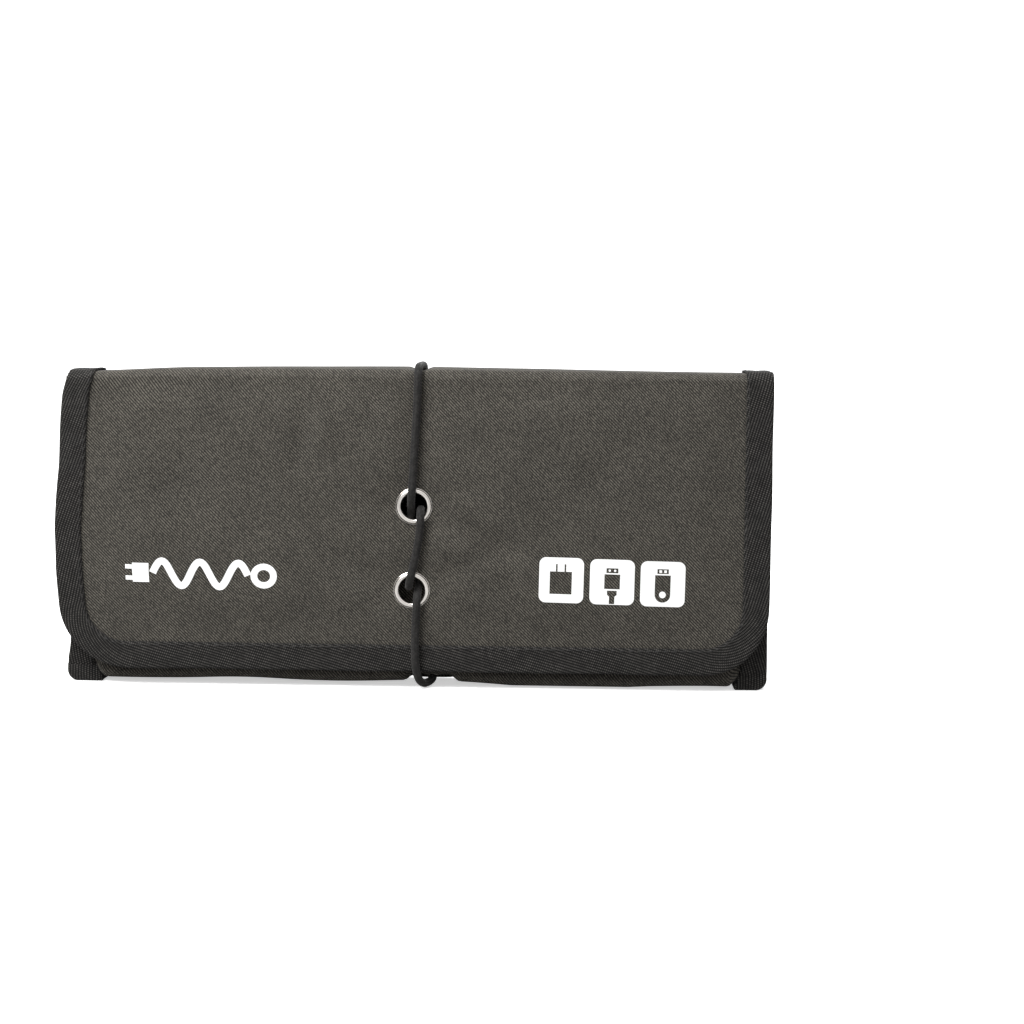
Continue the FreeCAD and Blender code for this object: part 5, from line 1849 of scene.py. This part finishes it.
def print_piece(name, outlines, centre, tilt):
    """Print filled outlines, with holes by overlap, on the flap's cloth."""
    curve = bpy.data.curves.new(name, "CURVE")
    curve.dimensions = "2D"
    curve.fill_mode = "BOTH"
    curve.extrude = 0.03 * MM
    for outline in outlines:
        spline = curve.splines.new("POLY")
        spline.points.add(len(outline) - 1)
        for point, (x, z) in zip(spline.points, outline):
            point.co = (x, z, 0, 1)
        spline.use_cyclic_u = True
    holder = bpy.data.objects.new(f"{name}_outline", curve)
    bpy.context.scene.collection.objects.link(holder)
    bpy.context.view_layer.update()
    mesh = bpy.data.meshes.new_from_object(holder)
    bpy.data.objects.remove(holder)
    shape = bmesh.new()
    shape.from_mesh(mesh)
    bmesh.ops.remove_doubles(shape, verts=shape.verts, dist=1e-6)
    for _ in range(3):
        long_edges = [edge for edge in shape.edges if edge.calc_length() > 2.2 * MM]
        if not long_edges:
            break
        bmesh.ops.subdivide_edges(shape, edges=long_edges, cuts=1)
        bmesh.ops.triangulate(shape, faces=[face for face in shape.faces if len(face.verts) > 3])
    face_y = low("flap_cloth").y
    layer = shape.loops.layers.uv.new("UVMap")
    for vertex in shape.verts:
        x = vertex.co.x * math.cos(tilt) - vertex.co.y * math.sin(tilt) + centre[0]
        z = vertex.co.x * math.sin(tilt) + vertex.co.y * math.cos(tilt) + centre[1]
        rise = cloth_relief("flap", x, 0, z, math.pi) + 0.08 * MM
        vertex.co = (x + side_bow("flap", x, face_y, z), face_y - rise - vertex.co.z, z)
    for face in shape.faces:
        for loop in face.loops:
            loop[layer].uv = (loop.vert.co.x + 0.5, loop.vert.co.z + 0.5)
    bmesh.ops.recalc_face_normals(shape, faces=shape.faces)
    fresh = bpy.data.meshes.new(name)
    shape.to_mesh(fresh)
    shape.free()
    fresh.materials.append(print_ink())
    piece = bpy.data.objects.new(name, fresh)
    bpy.context.scene.collection.objects.link(piece)
    return finish_piece(piece, "front_flap", "melange_cloth")


def build_print():
    """Three white tiles with plain pictograms and a plain cable motif on the flap."""
    tile = bpy.context.scene.pouch_print.tile
    half = tile / 2
    frame_outline = rounded_box(half, half * 1.02, 2.5 * MM)
    charger = [(-4.3 * MM, -5.2 * MM), (3.9 * MM, -5.2 * MM), (3.9 * MM, 3.2 * MM), (1.7 * MM, 3.2 * MM),
               (1.7 * MM, 6.0 * MM), (1.1 * MM, 6.0 * MM), (1.1 * MM, 3.2 * MM), (-1.5 * MM, 3.2 * MM),
               (-1.5 * MM, 6.0 * MM), (-2.1 * MM, 6.0 * MM), (-2.1 * MM, 3.2 * MM), (-4.3 * MM, 3.2 * MM)]
    lead = [
        box_outline(-2.2 * MM, 3.4 * MM, 2.2 * MM, 5.2 * MM),
        circle(-1.0 * MM, 4.3 * MM, 0.45 * MM, 12),
        circle(1.0 * MM, 4.3 * MM, 0.45 * MM, 12),
        box_outline(-2.9 * MM, -2.6 * MM, 2.9 * MM, 2.9 * MM),
        [(-1.8 * MM, -3.2 * MM), (-1.8 * MM, -4.8 * MM), (-1.0 * MM, -5.4 * MM), (-1.0 * MM, -8.2 * MM),
         (1.0 * MM, -8.2 * MM), (1.0 * MM, -5.4 * MM), (1.8 * MM, -4.8 * MM), (1.8 * MM, -3.2 * MM)],
    ]
    stick_end = [(2.9 * MM * math.cos(angle), -4.0 * MM + 2.9 * MM * math.sin(angle))
                 for angle in np.linspace(math.pi, 2 * math.pi, 17)]
    stick = [
        box_outline(-2.1 * MM, 3.8 * MM, 2.1 * MM, 5.6 * MM),
        box_outline(-1.4 * MM, 4.2 * MM, -0.4 * MM, 5.2 * MM),
        box_outline(0.4 * MM, 4.2 * MM, 1.4 * MM, 5.2 * MM),
        stick_end + [(2.9 * MM, 3.3 * MM), (-2.9 * MM, 3.3 * MM)],
        circle(0, -4.0 * MM, 1.25 * MM),
    ]
    tilt = math.radians(-1.0)
    plan = [
        ("print_charger", [charger], (54.4 * MM, 41.9 * MM)),
        ("print_lead", lead, (73.3 * MM, 41.4 * MM)),
        ("print_stick", stick, (92.1 * MM, 40.9 * MM)),
    ]
    for name, marks, centre in plan:
        print_piece(name, [frame_outline] + marks, centre, tilt)
    count = 60
    half_run = 17
    swing = 4.6
    turns = 5 * math.pi
    stroke = 1.3 * MM
    wave = []
    for side in (1, -1):
        for step in range(count + 1) if side > 0 else range(count, -1, -1):
            share = step / count
            x = (2 * share - 1) * half_run * MM
            lean = math.atan(swing * math.cos(share * turns) * turns / (2 * half_run))
            z = swing * MM * math.sin(share * turns)
            wave.append((x - side * stroke * math.sin(lean), z + side * stroke * math.cos(lean)))
    plug = [(-18.4 * MM, -3.6 * MM), (-18.4 * MM, 3.6 * MM), (-24.4 * MM, 3.6 * MM), (-24.4 * MM, 2.9 * MM),
            (-27 * MM, 2.9 * MM), (-27 * MM, 1.3 * MM), (-24.4 * MM, 1.3 * MM), (-24.4 * MM, -1.3 * MM),
            (-27 * MM, -1.3 * MM), (-27 * MM, -2.9 * MM), (-24.4 * MM, -2.9 * MM), (-24.4 * MM, -3.6 * MM)]
    ring = [circle(22.6 * MM, 0, 4.7 * MM), circle(22.6 * MM, 0, 2.3 * MM)]
    print_piece("print_motif", [wave, plug] + ring, (-78.6 * MM, 42.4 * MM), tilt)


def dress_frame():
    """Give every frame node that stays visible its own material."""
    kept = {
        "back_stiffener": grained("foam", (0.05, 0.05, 0.052), 0.9, scale=2500, bump=0.0001),
        "cord_end_bar": grained("bar_plastic", (0.012, 0.012, 0.0125), 0.4, scale=1500),
    }
    for name, node in frame["nodes"].items():
        node.data.materials.clear()
        node.data.materials.append(kept.get(name, kept["back_stiffener"]))
    copy_refined("cord_end_tee", "cord_end_bar", 0.3 * MM, kept["cord_end_bar"], "front_flap",
                 "cord_end_plastic")


def build_world():
    """A studio that is white to the camera and brighter above than below for everything else."""
    world = bpy.data.worlds.new("studio")
    world.use_nodes = True
    net = Net(world.node_tree)
    plain = world.node_tree.nodes["Background"]
    plain.inputs["Color"].default_value = (1.0, 1.0, 1.0, 1.0)
    plain.inputs["Strength"].default_value = 1.15
    way = net.add("ShaderNodeTexCoord").outputs["Generated"]
    height = net.add("ShaderNodeSeparateXYZ", Vector=way).outputs[2]
    strength = net.math("ADD", 0.48, net.math("MULTIPLY", net.math("MAXIMUM", height, 0.0), 0.5))
    soft = net.add("ShaderNodeBackground", Color=(1.0, 1.0, 1.0), Strength=strength)
    path = net.add("ShaderNodeLightPath").outputs["Is Camera Ray"]
    both = net.add("ShaderNodeMixShader", i0=path, i1=soft.outputs[0], i2=plain.outputs[0])
    world.node_tree.links.new(both.outputs[0], world.node_tree.nodes["World Output"].inputs["Surface"])
    bpy.context.scene.world = world


def pale_floor():
    """White floor that throws back less light than the camera sees on it."""
    material, net, shader, coordinates = start_material("pale_floor")
    speck = net.noise(coordinates["Object"], 40.0)
    seen = net.add("ShaderNodeLightPath").outputs["Is Camera Ray"]
    pale = net.mix(speck, (0.88, 0.88, 0.88), (0.92, 0.92, 0.92))
    net.feed(shader.inputs["Base Color"], net.mix(seen, (0.36, 0.36, 0.36), pale))
    net.feed(shader.inputs["Emission Color"], net.mix(seen, (0.0, 0.0, 0.0), (0.55, 0.55, 0.55)))
    shader.inputs["Emission Strength"].default_value = 1.0
    shader.inputs["Roughness"].default_value = 0.9
    return material


def build_stage():
    """Camera, pale floor, world and soft lights."""
    stage = bpy.context.scene.pouch_stage
    middle = Vector((0, low("flap_cloth").y, (CAD_BOX[0][2] + CAD_BOX[1][2]) / 2))
    way = Vector((math.sin(stage.azimuth) * math.cos(stage.elevation),
                  -math.cos(stage.azimuth) * math.cos(stage.elevation), math.sin(stage.elevation)))
    spot = middle + way * stage.distance
    sight = -way
    right = sight.cross(Vector((0, 0, 1))).normalized()
    up = right.cross(sight).normalized()
    aim = middle + right * stage.aside + up * stage.above
    camera = bpy.data.objects.new("camera", bpy.data.cameras.new("camera"))
    camera.data.lens = stage.lens
    camera.data.sensor_width = 36.0
    camera.location = spot
    level_camera = (aim - spot).to_track_quat("-Z", "Y")
    camera.rotation_euler = (level_camera @ Quaternion((0, 0, 1), stage.roll)).to_euler()
    bpy.context.scene.collection.objects.link(camera)
    bpy.context.scene.camera = camera
    floor_mesh = bpy.data.meshes.new("floor")
    reach = 40.0
    corners = [(-reach, -reach, 0), (reach, -reach, 0), (reach, reach, 0), (-reach, reach, 0)]
    floor_mesh.from_pydata(corners, [], [(0, 1, 2, 3)])
    floor = bpy.data.objects.new("floor", floor_mesh)
    floor_mesh.materials.append(pale_floor())
    bpy.context.scene.collection.objects.link(floor)
    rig.stage(floor)
    build_world()
    lights = [
        ("key", "SUN", (-0.75, -0.7, 1.15), 0.6, 1.9),
        ("front", "AREA", (-0.2, -0.3, 0.45), 0.3, 2.9),
        ("rim", "AREA", (0.25, 0.7, 0.9), 0.8, 6.0),
    ]
    for name, kind, place, size, power in lights:
        light = bpy.data.lights.new(name, kind)
        if kind == "SUN":
            light.angle = size
        else:
            light.size = size
        light.energy = power
        lamp = bpy.data.objects.new(name, light)
        lamp.location = place
        lamp.rotation_euler = (middle - Vector(place)).to_track_quat("-Z", "Y").to_euler()
        bpy.context.scene.collection.objects.link(lamp)
    bpy.context.scene.view_settings.view_transform = "Standard"


# ---------------------------------------------------------------------------
# Operators
# ---------------------------------------------------------------------------


class POUCH_OT_stage(bpy.types.Operator):
    """Set up the camera, floor and lights"""

    bl_idname = "pouch.stage"
    bl_label = "Stage"

    def execute(self, context):
        build_stage()
        return {"FINISHED"}


class POUCH_OT_cord(bpy.types.Operator):
    """Make the anchor patch and the elastic cord"""

    bl_idname = "pouch.cord"
    bl_label = "Elastic cord"

    def execute(self, context):
        build_anchor_patch()
        build_cords()
        return {"FINISHED"}


class POUCH_OT_cover(bpy.types.Operator):
    """Make the outer cloth and the foam under the top"""

    bl_idname = "pouch.cover"
    bl_label = "Outer cloth"

    def execute(self, context):
        build_cover()
        build_top_foam()
        return {"FINISHED"}


class POUCH_OT_lining(bpy.types.Operator):
    """Make the lining"""

    bl_idname = "pouch.lining"
    bl_label = "Lining"

    def execute(self, context):
        build_lining()
        return {"FINISHED"}


class POUCH_OT_binding(bpy.types.Operator):
    """Make the binding tape, its stitching and the feet"""

    bl_idname = "pouch.binding"
    bl_label = "Binding"

    def execute(self, context):
        build_binding()
        build_feet()
        return {"FINISHED"}


class POUCH_OT_eyelets(bpy.types.Operator):
    """Make the eyelets and washers"""

    bl_idname = "pouch.eyelets"
    bl_label = "Eyelets"

    def execute(self, context):
        build_eyelets()
        return {"FINISHED"}


class POUCH_OT_pockets(bpy.types.Operator):
    """Make the mesh pockets, sleeve, zip pocket and cable loops"""

    bl_idname = "pouch.pockets"
    bl_label = "Inside pockets"

    def execute(self, context):
        build_flap_pockets()
        build_pocket_sleeve()
        build_zip_pocket()
        build_cable_loops()
        return {"FINISHED"}


class POUCH_OT_print(bpy.types.Operator):
    """Print the tiles and the motif on the flap"""

    bl_idname = "pouch.print"
    bl_label = "Print"

    def execute(self, context):
        build_print()
        return {"FINISHED"}


class POUCH_OT_dress(bpy.types.Operator):
    """Give the frame's own pieces their materials"""

    bl_idname = "pouch.dress"
    bl_label = "Frame materials"

    def execute(self, context):
        dress_frame()
        return {"FINISHED"}


class POUCH_PT_panel(bpy.types.Panel):
    """Sizes, colours and steps of the pouch"""

    bl_idname = "POUCH_PT_panel"
    bl_label = "Cable organizer pouch"
    bl_space_type = "VIEW_3D"
    bl_region_type = "UI"
    bl_category = "Pouch"

    def draw(self, context):
        for group_name, kind in GROUPS:
            box = self.layout.box()
            settings = getattr(context.scene, group_name)
            for key in kind.__annotations__:
                box.prop(settings, key)
        for operator in STEPS:
            self.layout.operator(operator.bl_idname)


GROUPS = [
    ("pouch_cloth", PouchCloth),
    ("pouch_tape", PouchTape),
    ("pouch_cord", PouchCord),
    ("pouch_print", PouchPrint),
    ("pouch_stage", PouchStage),
]
STEPS = [
    POUCH_OT_stage,
    POUCH_OT_dress,
    POUCH_OT_cord,
    POUCH_OT_cover,
    POUCH_OT_lining,
    POUCH_OT_binding,
    POUCH_OT_eyelets,
    POUCH_OT_pockets,
    POUCH_OT_print,
]


def register():
    """Register the settings, operators and panel."""
    for group_name, kind in GROUPS:
        bpy.utils.register_class(kind)
        setattr(bpy.types.Scene, group_name, PointerProperty(type=kind))
    for operator in STEPS:
        bpy.utils.register_class(operator)
    bpy.utils.register_class(POUCH_PT_panel)


def unregister():
    """Remove the settings, operators and panel."""
    bpy.utils.unregister_class(POUCH_PT_panel)
    for operator in reversed(STEPS):
        bpy.utils.unregister_class(operator)
    for group_name, kind in reversed(GROUPS):
        delattr(bpy.types.Scene, group_name)
        bpy.utils.unregister_class(kind)


def main():
    """Build everything in order and note the two boxes."""
    register()
    bpy.ops.pouch.stage()
    bpy.ops.pouch.dress()
    bpy.ops.pouch.cord()
    bpy.ops.pouch.cover()
    bpy.ops.pouch.lining()
    bpy.ops.pouch.binding()
    bpy.ops.pouch.eyelets()
    bpy.ops.pouch.pockets()
    bpy.ops.pouch.print()
    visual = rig.bounds()
    with open("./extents.json", "w") as notes:
        json.dump({"cad": [list(corner) for corner in CAD_BOX],
                   "visual": [list(corner) for corner in visual]}, notes)


if __name__ == "__main__":
    main()
